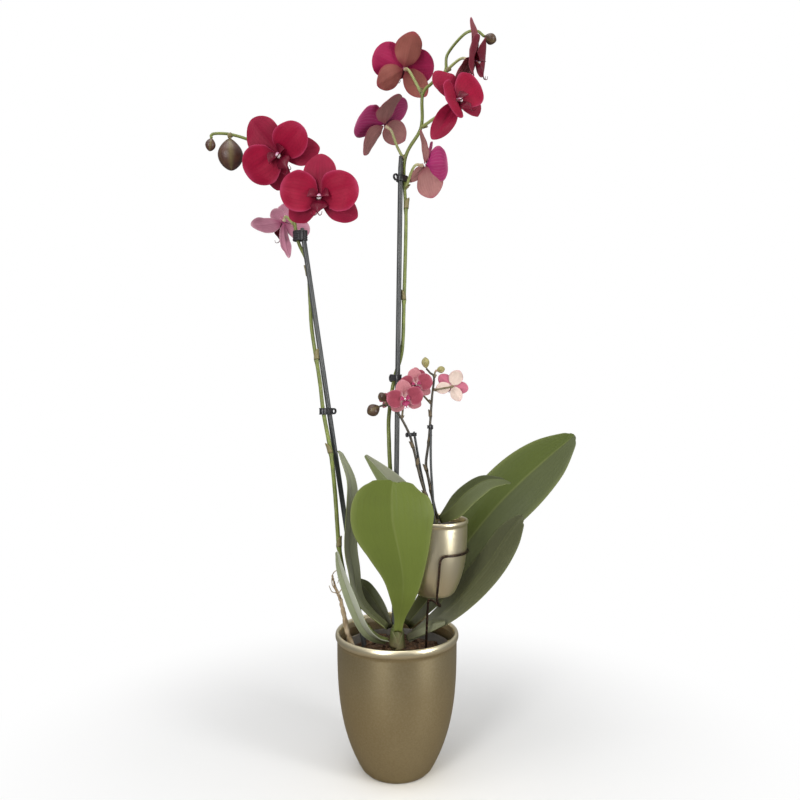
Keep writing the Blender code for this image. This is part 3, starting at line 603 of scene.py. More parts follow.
def wirePoints():
    base, x, foot = wire["lift"], wire["centre"], smallPot["foot"]
    ring = wallRadius(wire["ring"], smallPot) + 0.3 + wire["radius"]
    points = [(x - 14, -13, -85), (x - 10, -foot + 0.5, 8), (x - 8, -foot - 2, base - 5)]
    points += [(x - 6, -foot - 4, base - 0.5), (x - 2, -foot - 7, base - 0.5)]
    points += [(x + 3, -foot - 11, base - 4), (x + 3.5, -foot - 14, base - 2.5)]
    points += [(x + 0.6, -ring + 0.2, base + 4), (x + 2.5, -ring, base + 28)]
    points += [(x + 4, -ring, base + wire["ring"] - 4)]
    for angle in range(-76, 216, 16):
        turn = math.radians(angle)
        points.append((x + ring * math.cos(turn), ring * math.sin(turn), base + wire["ring"]))
    return points


wirePaint = Paint("bronzedWire", fixed={"Metallic": 0.85, "Coat Weight": 0.15})
wireWear = wirePaint.noise(420, 4, 0.65)
wirePaint.give("Base Color", wirePaint.blend(wireWear.step(0.45, 0.75), tone(44, 31, 25), tone(98, 74, 54)))
wirePaint.give("Roughness", 0.28 + wireWear * 0.25)
wireShape = Shape()
wirePath = curveThrough(wirePoints(), 6)
wireShape.tube(wirePath, [wire["radius"]] * len(wirePath), 12)
addPiece("wireHolder", wireShape, plantBase, wirePaint, "wire_holder")

stakes = {
    "stake_left": {"path": [(-21, 12, -95), (-56, 8.5, 137), (-101, 4, 445)], "radius": 2.7},
    "stake_right": {"path": [(-5, 14, -95), (-0.8, 14, 170), (0.7, 14, 290), (4, 14, 525)], "radius": 2.7},
    "small_stake_left": {"path": [(-1, 6.5, -32), (-6, 6, 16), (-15.3, 4, 62), (-22, 2.6, 101)],
                         "radius": 1.3},
    "small_stake_right": {"path": [(-1, -6.8, -32), (-1.5, -5.6, 18), (-4.2, -2.8, 66), (-4.2, -2.2, 109)],
                          "radius": 1.3},
}
stakePaint = Paint("stakePlastic", fixed={"Coat Weight": 0.25})
stakeCloud = stakePaint.noise(120, 3, 0.6, stretch=(1, 1, 0.12))
stakeTone = stakePaint.blend(stakeCloud.step(0.3, 0.7), tone(48, 51, 52), tone(80, 82, 80))
stakePaint.finish(stakeTone, 0.38 + stakeCloud * 0.2,
                  stakePaint.noise(900, 2, stretch=(1, 1, 0.1)), 0.15, 0.0003)
stakePaths = {}
for stakeName, stake in stakes.items():
    path = curveThrough(stake["path"], 18)
    stakePaths[stakeName] = path
    stakeShape = Shape()
    radii = [stake["radius"]] * len(path)
    radii[-1] *= 0.72
    stakeShape.tube(path, radii, 16)
    addPiece(pieceName(stakeName), stakeShape, standing(stakeName), stakePaint, stakeName)
print("wire and stakes are up")

# leaves

leafShade = {"thick": 2.2, "smallThick": 1.8, "wide": 25, "steps": 7, "rough": 0.36,
             "fold": 0.12, "groove": 0.9, "grooveHalf": 1.7, "wave": 0.08, "tip": 2.5}
# upper and lower are the two halves of a blade either side of the midrib, painted lighter and darker for
# how light falls on each side of the fold
greenTones = {"upper": tone(98, 110, 50), "lower": tone(96, 107, 48), "back": tone(132, 138, 98),
              "base": tone(88, 92, 52), "edge": tone(120, 128, 72)}
# painted shade: darker, duller copies of the leaf colours, for the leaves that sit behind and low down
shadedLeafTones = {"upper": tone(74, 78, 46), "lower": tone(62, 64, 40), "back": tone(112, 114, 88),
             "base": tone(58, 54, 38), "edge": tone(108, 112, 74)}
# painted reflection: grey, washed-out leaf colours that stand in for the sheen of the bright surroundings
# on glossy leaves
sheenLeafTones = {"upper": tone(150, 154, 130), "lower": tone(128, 134, 104), "back": tone(158, 160, 142),
             "base": tone(92, 98, 60), "edge": tone(176, 180, 158)}
leafReach = -(smallPot["body"] + 1.2 + 12)
leaves = {
    "leaf_front": {
        "spine": [(1, -12, 20), (3, -17, 38), (6, -30, 64), (6, -38, 86), (2, leafReach + 3, 112),
                  (-4, leafReach, 142), (-5, leafReach, 166), (-4, leafReach, 180)],
        "halves": [4, 6, 14, 21, 31, 41, 37, 21], "across": (1, 0, 0), "fold": 0.1, "notch": 3.0,
        "tones": {**greenTones, "upper": tone(98, 111, 44), "lower": tone(90, 102, 39),
                  "base": tone(116, 126, 62)}, "slot": "leaf_green"},
    "leaf_right_upper": {
        "spine": [(10, 12, 20), (45, 36, 54), (75, 48, 96), (110, 58, 137), (145, 70, 169), (177, 79, 195),
                  (201, 84, 214), (207, 85, 219)],
        "halves": [6, 15, 25, 32, 33, 26, 12, 5], "across": (-0.66, 0.25, 0.7),
        "tones": {**greenTones, "upper": tone(76, 87, 33), "lower": tone(76, 83, 48),
                  "base": tone(58, 58, 32)},
        "turned": True, "slot": "leaf_green"},
    "leaf_right_lower": {
        "spine": [(11, 0, 9), (33, 4, 23), (55, 6, 39), (79, 11, 62), (101, 14, 88), (119, 16, 115),
                  (131, 15, 131), (135, 14, 135)],
        "halves": [5, 10, 16, 21, 22, 19, 10, 4], "across": (-0.45, 0.85, 0.3),
        "tones": {**shadedLeafTones, "back": tone(84, 87, 60), "base": tone(126, 126, 112)}, "slot": "leaf_dark"},
    "leaf_left_edge": {
        "spine": [(-10, -2, 22), (-30, -4, 40), (-41, -6, 57), (-46, -6, 83), (-50, -6, 110),
                  (-48, -6, 153), (-49, -6, 178), (-58, -4, 202), (-61, -3, 208)],
        "halves": [5, 7, 9, 12, 13, 12, 9, 5, 2], "across": (0.45, 0.89, 0),
        # its grey upper and lower tones are a painted reflection of the sheen on the glossy leaf
        "tones": {**greenTones, "upper": tone(138, 142, 116), "lower": tone(150, 153, 130),
                  "back": tone(96, 106, 50)},
        "slot": "leaf_green"},
    "leaf_left_front": {
        "spine": [(-10, -7, 8), (-22, -15, 14), (-33, -19, 25), (-42, -21, 44), (-51, -21, 67),
                  (-58, -19, 87), (-62, -17, 104)],
        "halves": [4, 5, 6, 6.5, 6, 4.5, 2], "across": (0.85, -0.35, 0.4), "fold": 0.2,
        "tones": {**sheenLeafTones, "upper": tone(163, 166, 147)}, "slot": "leaf_gray"},
    "leaf_left_back": {
        "spine": [(-8, 8, 18), (-20, 20, 36), (-34, 29, 54), (-44, 33, 62)],
        "halves": [4, 8, 8, 4], "across": (0.5, 0.3, 0.8), "tones": shadedLeafTones, "slot": "leaf_dark"},
    "leaf_low_front": {
        "spine": [(10, -4, 12), (24, -8, 21), (38, -9, 27), (49, -11, 30)],
        "halves": [4, 7, 7, 3], "across": (0.1, 0.8, 0.5), "tones": shadedLeafTones, "slot": "leaf_dark"},
    "small_leaf_right": {
        "spine": [(5, -2, 8), (20, -8, 23), (33, -9, 37), (52, -8, 49), (70, -7, 50), (78, -6, 47)],
        "halves": [5, 16, 17, 14, 8, 2], "across": (-0.3, 0.85, 0.42),
        # its halves are painted light: a grey lower half for the sheen on the glossy leaf and a dark upper
        # half for shade
        "tones": {**greenTones, "upper": tone(64, 71, 30), "lower": tone(86, 93, 58),
                  "back": tone(132, 137, 104)},
        "turned": True, "slot": "leaf_green"},
    "small_leaf_rear": {
        "spine": [(5, 6, 8), (20, 10, 15), (32, 11, 23), (44, 12, 34), (50, 12, 40)],
        "halves": [3, 8, 9, 7, 3], "across": (-0.4, 0.8, 0.5), "tones": shadedLeafTones, "slot": "leaf_dark"},
    "small_leaf_left": {
        "spine": [(-6, 9, 8), (-16, 9, 16), (-32, 8, 32), (-48, 7, 48), (-61, 5, 62), (-73, 3, 75)],
        "halves": [4, 9, 12, 11, 7, 2], "across": (0.75, 0.1, 0.66),
        "tones": {**sheenLeafTones, "upper": tone(140, 142, 120), "lower": tone(104, 112, 70)},
        "slot": "leaf_gray"},
}


def leafPaint(name, tones, turned):
    paint = Paint(name, fixed={"Specular IOR Level": 0.26})
    along, across, side = paint.grown()
    side = 1 - side if turned else side
    cloud = paint.noise(55, 4, 0.6)
    speck = paint.noise(700, 2)
    lines = ((across * 44 + cloud * 2.5).sine() * 0.5 + 0.5) ** 3
    # painted light: the halves either side of the fold are given a lit and a shaded tone
    halves = paint.blend(across.step(-0.06, 0.06), tones["lower"], tones["upper"])
    face = paint.blend(side.step(0.45, 0.55), halves, tones["back"])
    face = paint.blend((1 - along).step(0.62, 0.98) * 0.85, face, tones["base"])
    face = paint.blend(abs(across) ** 14 * 0.7, face, tones["edge"])
    rib = 1 - abs(across).step(0.0, 0.055)
    face = paint.blend(rib * 0.35, face, tones["edge"])
    dusk = (cloud * 0.7 + lines * 0.07).step(0.3, 0.75) * 0.25
    face = paint.blend(dusk, face, (0.55, 0.55, 0.5, 1), "MULTIPLY")
    paint.finish(face, leafShade["rough"] + cloud * 0.15 + speck * 0.06,
                 lines * 0.5 + speck * 0.35 + cloud * 0.6 - rib * 1.2, 0.22, 0.0006)
    return paint


def leafShape(leaf, thickness, seed):
    steps = leafShade["steps"]
    path = curveThrough(leaf["spine"], steps)
    halves = easedNumbers(leaf["halves"], steps)
    wide = leafShade["wide"]
    acrosses = acrossShares(wide)
    last = len(path) - 1
    ending = (path[last] - path[last - 1]).normalized()
    tip = min(halves[-1] * 0.5, leafShade["tip"])
    places = [(point, half, 0) for point, half in zip(path, halves)]
    for step in range(1, 7):
        angle = math.pi / 2 * step / 6.05
        places.append((path[last] + ending * tip * math.sin(angle), halves[-1] * math.cos(angle), 1))
    across = Vector(leaf["across"]).normalized()
    rows, alongs = [], []
    for i, (point, half, ended) in enumerate(places):
        before, after = places[max(i - 1, 0)][0], places[min(i + 1, len(places) - 1)][0]
        along = ending if ended else (after - before).normalized()
        side = (across - along * across.dot(along)).normalized()
        lift = side.cross(along)
        share = i / (len(places) - 1)
        row = []
        for s in acrosses:
            rise = leaf.get("fold", leafShade["fold"]) * half * (abs(s) ** 1.6)
            rise -= leafShade["groove"] * math.exp(-((s * half / leafShade["grooveHalf"]) ** 2))
            rise += leafShade["wave"] * half * s * s * wobble((share * 90, s * 25, 0), 22, seed)
            back = leaf.get("notch", 0) * math.exp(-(((s * half - 3) / 4) ** 2)) * smoothStep(0.9, 1, share)
            row.append(point + side * half * s + lift * rise - ending * back)
        rows.append(row)
        alongs.append(share)
    shape = Shape()
    shape.sheet(rows, thickness, alongs, acrosses)
    return shape


for number, (leafName, leaf) in enumerate(leaves.items()):
    thick = leafShade["smallThick" if leafName.startswith("small") else "thick"]
    paint = leafPaint(pieceName(leafName, "skin"), leaf["tones"], leaf.get("turned"))
    addPiece(pieceName(leafName), leafShape(leaf, thick, number), standing(leafName), paint, leafName)
print("leaves are grown")

# flowers: each blade's angle, length, breadth, forward lean, how blunt it is and any twist

tepals = {
    "dorsal": (90, 1.0, 0.82, -6, 0.58),
    "lateral_a": (-144, 0.98, 0.68, -10, 0.62),
    "lateral_b": (-36, 0.98, 0.68, -10, 0.62),
    "petal_a": (168, 0.97, 0.98, 8, 0.45),
    "petal_b": (12, 0.97, 0.98, 8, 0.45),
}
changedTepals = {
    "flower_left_top": {"dorsal": (90, 1, 0.9, -6, 0.55), "petal_b": (4, 0.93, 0.84, 8, 0.45)},
    "flower_left_front": {
        "lateral_a": (-150, 0.98, 0.64, -8, 0.6), "lateral_b": (-30, 0.98, 0.64, -8, 0.6),
        "petal_a": (166, 0.97, 0.94, 8, 0.45), "petal_b": (14, 0.97, 0.94, 8, 0.45)},
    "flower_left_back": {
        "dorsal": (-87, 1.28, 0.32, -4, 0.62), "lateral_a": (-20, 1.14, 0.52, -6, 0.6),
        "petal_a": (70, 0.47, 0.5, 0, 0.45), "lateral_b": (120, 0.9, 0.6, 10, 0.66),
        "petal_b": (178, 0.9, 0.8, 8, 0.45)},
    "flower_right_front": {
        "lateral_a": (-158, 1.28, 0.6, -10, 0.6), "lateral_b": (-24, 1, 0.78, -6, 0.6),
        "petal_a": (168, 0.97, 1.04, 34, 0.45)},
    "flower_right_low": {
        "dorsal": (90, 1, 0.34, -6, 0.62), "lateral_a": (-126, 1, 0.8, -4, 0.6, -48),
        "lateral_b": (-41, 0.9, 0.34, -10, 0.66), "petal_b": (12, 0.9, 1, 38, 0.45)},
    "small_flower_right": {"petal_a": (166, 0.95, 0.72, 4, 0.5), "petal_b": (14, 0.95, 0.72, 4, 0.5)},
}
flowers = {
    "flower_left_top": ((-120.3, -24, 514.5), (-0.1, -0.85, -0.5), 39, 42.5),
    "flower_left_front": ((-76.4, -38, 466), (-0.14, -0.97, -0.21), -1, 42.5),
    "flower_left_back": ((-123.7, 18, 455), (-0.5, 0.8, -0.35), 0, 38),
    "flower_right_back_high": ((7.8, 24, 624), (-0.31, 0.79, 0.53), 2, 38),
    "flower_right_back_low": ((-14.1, 22, 562), (-0.67, 0.3, 0.7), -38, 41),
    "flower_right_front": ((60.3, -34, 562.6), (0.52, -0.85, 0.07), 35, 37),
    "flower_right_profile": ((79, -4, 620), (0.92, -0.25, -0.2), 22, 40),
    "flower_right_low": ((29.8, 4, 512), (0.86, 0.44, 0.27), 27, 37),
    "small_flower_front": ((-31.6, -20, 136), (0.05, -0.98, -0.18), 10, 19.8),
    "small_flower_upper": ((-19.9, -3, 150.3), (0.09, -0.99, 0.1), 8, 18.5),
    "small_flower_right": ((18.7, 7, 149.4), (0.05, 0.99, 0.1), 25, 18.8),
    "small_flower_left": ((-46.8, 1.2, 136), (-0.3, -0.7, 0.65), 20, 13),
    "small_flower_rear": ((-19, 12, 161), (0.2, -0.9, 0.3), 0, 10),
}
petalLooks = {
    "crimsonPetal": {"front": tone(147, 8, 48), "back": tone(164, 34, 80), "heart": tone(108, 8, 38),
                     "rim": tone(186, 66, 104), "vein": 0.28, "pale": tone(184, 72, 118)},
    "crimsonSepal": {"front": tone(138, 20, 52), "back": tone(156, 92, 82), "heart": tone(112, 12, 42),
                     "rim": tone(164, 44, 74), "vein": 0.3, "pale": tone(174, 116, 106)},
    "mauvePetal": {"front": tone(150, 46, 88), "back": tone(168, 110, 130), "heart": tone(150, 46, 94),
                   "rim": tone(214, 176, 184), "vein": 0.45, "pale": tone(212, 170, 178)},
    "magentaPetal": {"front": tone(162, 30, 98), "back": tone(176, 58, 112), "heart": tone(160, 32, 104),
                     "rim": tone(206, 124, 158), "vein": 0.35, "pale": tone(208, 128, 168)},
    "duskySepal": {"front": tone(140, 70, 76), "back": tone(164, 114, 110), "heart": tone(140, 70, 78),
                   "rim": tone(168, 76, 98), "vein": 0.35, "pale": tone(192, 150, 144)},
    "plumPetal": {"front": tone(116, 28, 46), "back": tone(116, 42, 54), "heart": tone(96, 22, 40),
                  "rim": tone(150, 84, 94), "vein": 0.3, "pale": tone(150, 94, 98)},
    "blushPetal": {"front": tone(152, 66, 82), "back": tone(196, 112, 132), "heart": tone(228, 200, 198),
                   "rim": tone(206, 128, 146), "vein": 0.3, "pale": tone(186, 92, 122)},
    "blushSepal": {"front": tone(184, 118, 124), "back": tone(226, 206, 192), "heart": tone(226, 206, 192),
                   "rim": tone(214, 150, 162), "vein": 0.25, "pale": tone(214, 164, 166)},
}
# the petal and the sepal look of each flower that differs from the crimson ones
flowerLooks = {
    "flower_left_back": ("mauvePetal", "mauvePetal"),
    "flower_right_back_low": ("magentaPetal", "duskySepal"),
    "flower_right_profile": ("plumPetal", "duskySepal"),
    "flower_right_low": ("magentaPetal", "duskySepal"),
}


def petalPaint(name, look):
    paint = Paint(name, fixed={"Specular IOR Level": 0.16})
    along, across, side = paint.grown()
    cloud = paint.noise(110, 4, 0.6)
    speck = paint.noise(1500, 2)
    fan = (1 - abs((across * 17 + cloud * 1.4).sine())) ** 5
    behind = side.step(0.45, 0.55)
    face = paint.blend(behind, look["front"], look["back"])
    face = paint.blend(fan * look["vein"] * behind, face, look["pale"])
    face = paint.blend(fan * (1 - behind) * look["vein"], face, (0.45, 0.35, 0.4, 1), "MULTIPLY")
    face = paint.blend((1 - along).step(0.66, 0.97) * 0.75, face, look["heart"])
    margin = across.math("MAXIMUM", abs(across), along)
    face = paint.blend(margin ** 16 * 0.75, face, look["rim"])
    face = paint.blend(cloud.step(0.35, 0.72) * 0.22, face, (0.55, 0.5, 0.55, 1), "MULTIPLY")
    paint.finish(face, 0.46 + cloud * 0.12 + speck * 0.05,
                 fan * 0.8 + speck * 0.35 + cloud * 0.5, 0.2, 0.0005)
    return paint


def flowerFrame(facing, roll):
    forward = Vector(facing).normalized()
    level = Vector((0, 0, 1))
    up = (level - forward * level.dot(forward)).normalized()
    right = up.cross(forward)
    turn = math.radians(roll)
    turnedRight = right * math.cos(turn) + up * math.sin(turn)
    return forward, turnedRight, up * math.cos(turn) - right * math.sin(turn)


# how a petal or sepal curves, in shares of its length or half-width
petalForm = {"arch": 0.06, "dish": 0.12, "recurve": 0.09, "nod": 0.04, "wave": 0.07,
             "crease": 0.028, "ragged": 0.05}


def tepalShape(root, out, face, length, breadth, blunt, thick, seed, wide=23, tall=26):
    form = petalForm
    side = out.cross(face)
    acrosses = acrossShares(wide)
    rows, alongs = [], []
    for i in range(tall):
        t = 0.03 + 0.97 * (1 - math.cos(math.pi * (0.06 + 0.94 * i / (tall - 1)))) / 2
        t = min(t, 0.9995)
        half = breadth / 2 * min(1, t / 0.16) * math.sin(math.pi * t**1.1) ** blunt
        half = max(half, thick * 0.5) if t < 0.5 else half
        row = []
        for s in acrosses:
            outer = (s * half / (breadth / 2)) ** 2
            rise = length * form["arch"] * math.sin(math.pi * t) + half * form["dish"] * s * s
            rise -= (length * form["recurve"] * outer * smoothStep(0.3, 1, t)
                     + length * form["nod"] * smoothStep(0.6, 1, t))
            wave = wobble((t * 3.2, s * half / breadth * 3.2, 0), 1, seed)
            rise += length * form["wave"] * outer * wave
            rise -= length * form["crease"] * math.exp(-((s / 0.16) ** 2)) * math.sin(math.pi * t)
            edge = 1 + form["ragged"] * wobble((t * 4, s * 2, 4), 1, seed + 9) * abs(s)
            row.append(root + out * length * t + side * half * s * edge + face * rise)
        rows.append(row)
        alongs.append(t)
    shape = Shape()
    shape.sheet(rows, thick, alongs, acrosses)
    return shape


def lobe(shape, root, out, face, length, halves, cup, thick, side, wide=13):
    # a small blade whose half-widths are given from root to tip
    across = out.cross(face).normalized()
    widths = easedNumbers(halves, 5)
    acrosses = acrossShares(wide)
    rows, alongs = [], []
    for i, half in enumerate(widths):
        t = i / (len(widths) - 1)
        bend = face * (length * 0.16 * math.sin(math.pi * t))
        rows.append([root + out * length * t + bend + across * half * s + face * cup * half * s * s
                     for s in acrosses])
        alongs.append(t)
    shape.sheet(rows, thick, alongs, acrosses, side)


# lip and column, in shares of the flower's radius
lipSize = {"boss": 0.085, "wing": 0.34, "wingHalf": 0.17, "tongue": 0.46, "tongueHalf": 0.2,
           "column": 0.18, "columnWidth": 0.13}


def lipShape(centre, forward, right, up, radius):
    shape = Shape()
    boss = radius * lipSize["boss"]
    base = centre + forward * boss * 0.9 - up * boss * 0.3
    for turn in (-1, 1):
        out = (right * turn * 0.78 + forward * 0.6 + up * 0.05).normalized()
        face = (up * 0.75 + forward * 0.3 - right * turn * 0.55).normalized()
        face = (face - out * face.dot(out)).normalized()
        wing = radius * lipSize["wingHalf"]
        halves = [wing * 0.3, wing * 0.8, wing, wing * 0.75, 0.05]
        lobe(shape, base, out, face, radius * lipSize["wing"], halves, 0.5, radius * 0.03, 0.0)
    out = (forward * 0.62 - up * 0.78).normalized()
    face = (forward * 0.78 + up * 0.62).normalized()
    half = radius * lipSize["tongueHalf"]
    length = radius * lipSize["tongue"]
    lobe(shape, base, out, face, length, [half * 0.45, half * 0.5, half * 0.95, half, half * 0.45, 0.1],
         -0.35, radius * 0.035, 1.0)
    tip = base + out * length * 0.96
    for turn in (-1, 1):
        curl = [tip, tip + out * radius * 0.08 + right * turn * radius * 0.05,
                tip + out * radius * 0.1 + right * turn * radius * 0.11 + face * radius * 0.04,
                tip + out * radius * 0.04 + right * turn * radius * 0.13 + face * radius * 0.08]
        path = curveThrough(curl, 5)
        shape.tube(path, [radius * 0.014 * (1 - 0.6 * i / len(path)) for i in range(len(path))], 7, 1.0)
    callus = base + face * radius * 0.06 + out * radius * 0.06
    shape.egg(callus, out, radius * 0.13, radius * 0.1, 14, 10, side=2.0)
    return shape


def columnShape(centre, forward, up, radius):
    shape = Shape()
    start = centre + forward * radius * 0.03
    reach = radius * lipSize["column"]
    bent = [start, start + forward * reach * 0.45 + up * reach * 0.06,
            start + forward * reach - up * reach * 0.1]
    path = curveThrough(bent, 7)
    last = len(path) - 1
    radii = []
    for i in range(len(path)):
        t = i / last
        width = 0.55 + 0.45 * smoothStep(0.2, 0.75, t)
        radii.append(radius * lipSize["columnWidth"] / 2 * width * math.sqrt(max(1 - t**6, 0.02)))
    shape.tube(path, radii, 16, 0.0)
    cap = path[-1] - forward * reach * 0.1 - up * radius * 0.004
    shape.egg(cap, forward - up * 0.5, radius * 0.11, radius * 0.11, 14, 10, side=1.0)
    return shape


def lipPaint(name, deep, bright, callus):
    paint = Paint(name, fixed={"Coat Weight": 0.05, "Specular IOR Level": 0.25})
    along, across, side = paint.grown()
    cloud = paint.noise(300, 3)
    stripe = (1 - abs((across * 9 + cloud).sine())) ** 3
    face = paint.blend(stripe * 0.4 + along * 0.25, deep, bright)
    spots = cloud.step(0.52, 0.6)
    heart = paint.blend(spots, callus, deep)
    face = paint.blend(side.step(1.4, 1.6), face, heart)
    paint.finish(face, 0.34 + cloud * 0.2, stripe * 0.6 + cloud * 0.5, 0.25, 0.0004)
    return paint


def columnPaint(name, low, high):
    paint = Paint(name, fixed={"Coat Weight": 0.2})
    along, _, side = paint.grown()
    cloud = paint.noise(400, 3)
    face = paint.blend(along.step(0.3, 0.9), low, high)
    face = paint.blend(side.step(0.4, 0.6), face, (0.85, 0.8, 0.8, 1))
    face = paint.blend(cloud.step(0.45, 0.75) * 0.25, face, low)
    paint.finish(face, 0.36 + cloud * 0.15, cloud, 0.15, 0.0003)
    return paint


petalPaints = {name: petalPaint(name, look) for name, look in petalLooks.items()}
bigLip = lipPaint("maroonLip", tone(92, 8, 32), tone(128, 14, 48), tone(196, 120, 92))
smallLip = lipPaint("pinkLip", tone(150, 40, 84), tone(196, 84, 124), tone(222, 140, 74))
bigColumn = columnPaint("pinkColumn", tone(160, 44, 106), tone(214, 150, 184))
smallColumn = columnPaint("creamColumn", tone(206, 130, 156), tone(240, 226, 220))
for number, (flowerName, (centre, facing, roll, radius)) in enumerate(flowers.items()):
    small = flowerName.startswith("small")
    base = standing(flowerName)
    slotName = "petal_pink" if small else "petal_red"
    centre = Vector(centre)
    forward, right, up = flowerFrame(facing, roll)
    thick = min(1.3, radius * 0.05)
    boss = radius * lipSize["boss"]
    blades = tepals | changedTepals.get(flowerName, {})
    for part, (angle, length, breadth, lean, blunt, *twist) in blades.items():
        turn, tilt = math.radians(angle), math.radians(lean)
        flat = right * math.cos(turn) + up * math.sin(turn)
        out = flat * math.cos(tilt) + forward * math.sin(tilt)
        face = forward * math.cos(tilt) - flat * math.sin(tilt)
        spin = math.radians(sum(twist))
        face = face * math.cos(spin) + out.cross(face) * math.sin(spin)
        root = centre + forward * boss * (0.45 if part.startswith("petal") else -0.15)
        seed = number * 5 + len(part) + angle / 50
        shape = tepalShape(root, out, face, length * radius, breadth * radius, blunt, thick, seed)
        usual = ("blushPetal", "blushSepal") if small else ("crimsonPetal", "crimsonSepal")
        paint = petalPaints[flowerLooks.get(flowerName, usual)[0 if part.startswith("petal") else 1]]
        addPiece(pieceName(flowerName, part), shape, base, paint, flowerName)
    addPiece(pieceName(flowerName, "lip"), lipShape(centre, forward, right, up, radius), base,
             smallLip if small else bigLip, flowerName)
    addPiece(pieceName(flowerName, "column"), columnShape(centre, forward, up, radius), base,
             smallColumn if small else bigColumn, flowerName)
print("flowers are open")

# stems, with a swollen joint and a papery scale at each node

stemPaints = {
    "green": {"low": tone(100, 110, 50), "high": tone(124, 136, 60), "scale": tone(128, 118, 78),
              "stalk": tone(150, 158, 96), "end": tone(206, 190, 160)},
    "brown": {"low": tone(60, 55, 46), "high": tone(78, 71, 56), "scale": tone(106, 92, 70),
              "stalk": tone(112, 98, 66), "end": tone(176, 140, 122)},
}


def stemPaint(name, look):
    paint = Paint(name, fixed={"Coat Weight": 0.12})
    along, _, side = paint.grown()
    cloud = paint.noise(90, 4, 0.6)
    streak = paint.noise(300, 3, 0.6, stretch=(1, 1, 0.12))
    body = paint.blend(cloud.step(0.3, 0.7), look["low"], look["high"])
    stalk = paint.blend(along.step(0.35, 1.0), look["stalk"], look["end"])
    body = paint.blend(side.step(1.4, 1.6), body, stalk)
    husk = side.step(0.4, 0.6) * (1 - side.step(1.4, 1.6))
    body = paint.blend(husk, body, look["scale"])
    body = paint.blend(streak.step(0.45, 0.8) * 0.35, body, look["scale"])
    paint.finish(body, 0.42 + cloud * 0.15 + husk * 0.2, streak * 0.7 + cloud * 0.5, 0.25, 0.0005)
    return paint


def flowerBack(name):
    centre, facing, roll, radius = flowers[name]
    forward = Vector(facing).normalized()
    return Vector(centre) - forward * (radius * lipSize["boss"] - 0.2), forward


def stalkTo(start, name):
    end, forward = flowerBack(name)
    start = Vector(start)
    return [start, end - forward * (end - start).length * 0.35, end]


buds = {
    "bud_left_large": ((-175.1, -5, 520.2), (0.05, 0, -1), 34, 26, "bronze"),
    "bud_left_small": ((-195.2, -8, 529.5), (-0.15, 0, -1), 14, 10.5, "bronze"),
    "bud_right": ((100.8, 16, 652.8), (0.95, 0, -0.35), 14, 11.5, "olive"),
    "small_bud_left": ((-64.5, -8, 124), (-0.8, -0.2, -0.5), 15, 13, "olive"),
    "small_bud_inner": ((-55.2, -6, 137.5), (-0.5, 0.1, 0.8), 11, 9, "olive"),
    "small_bud_top": ((-9.6, 2, 174), (-0.1, 0, 1), 12, 8.5, "lime"),
    "small_bud_right": ((6.6, 6, 167), (0.9, 0.2, 0.2), 9.5, 7.5, "lime"),
}


def budEnd(name, gap=0.0):
    centre, toward, length, *_ = buds[name]
    return Vector(centre) - Vector(toward).normalized() * (length / 2 + gap)


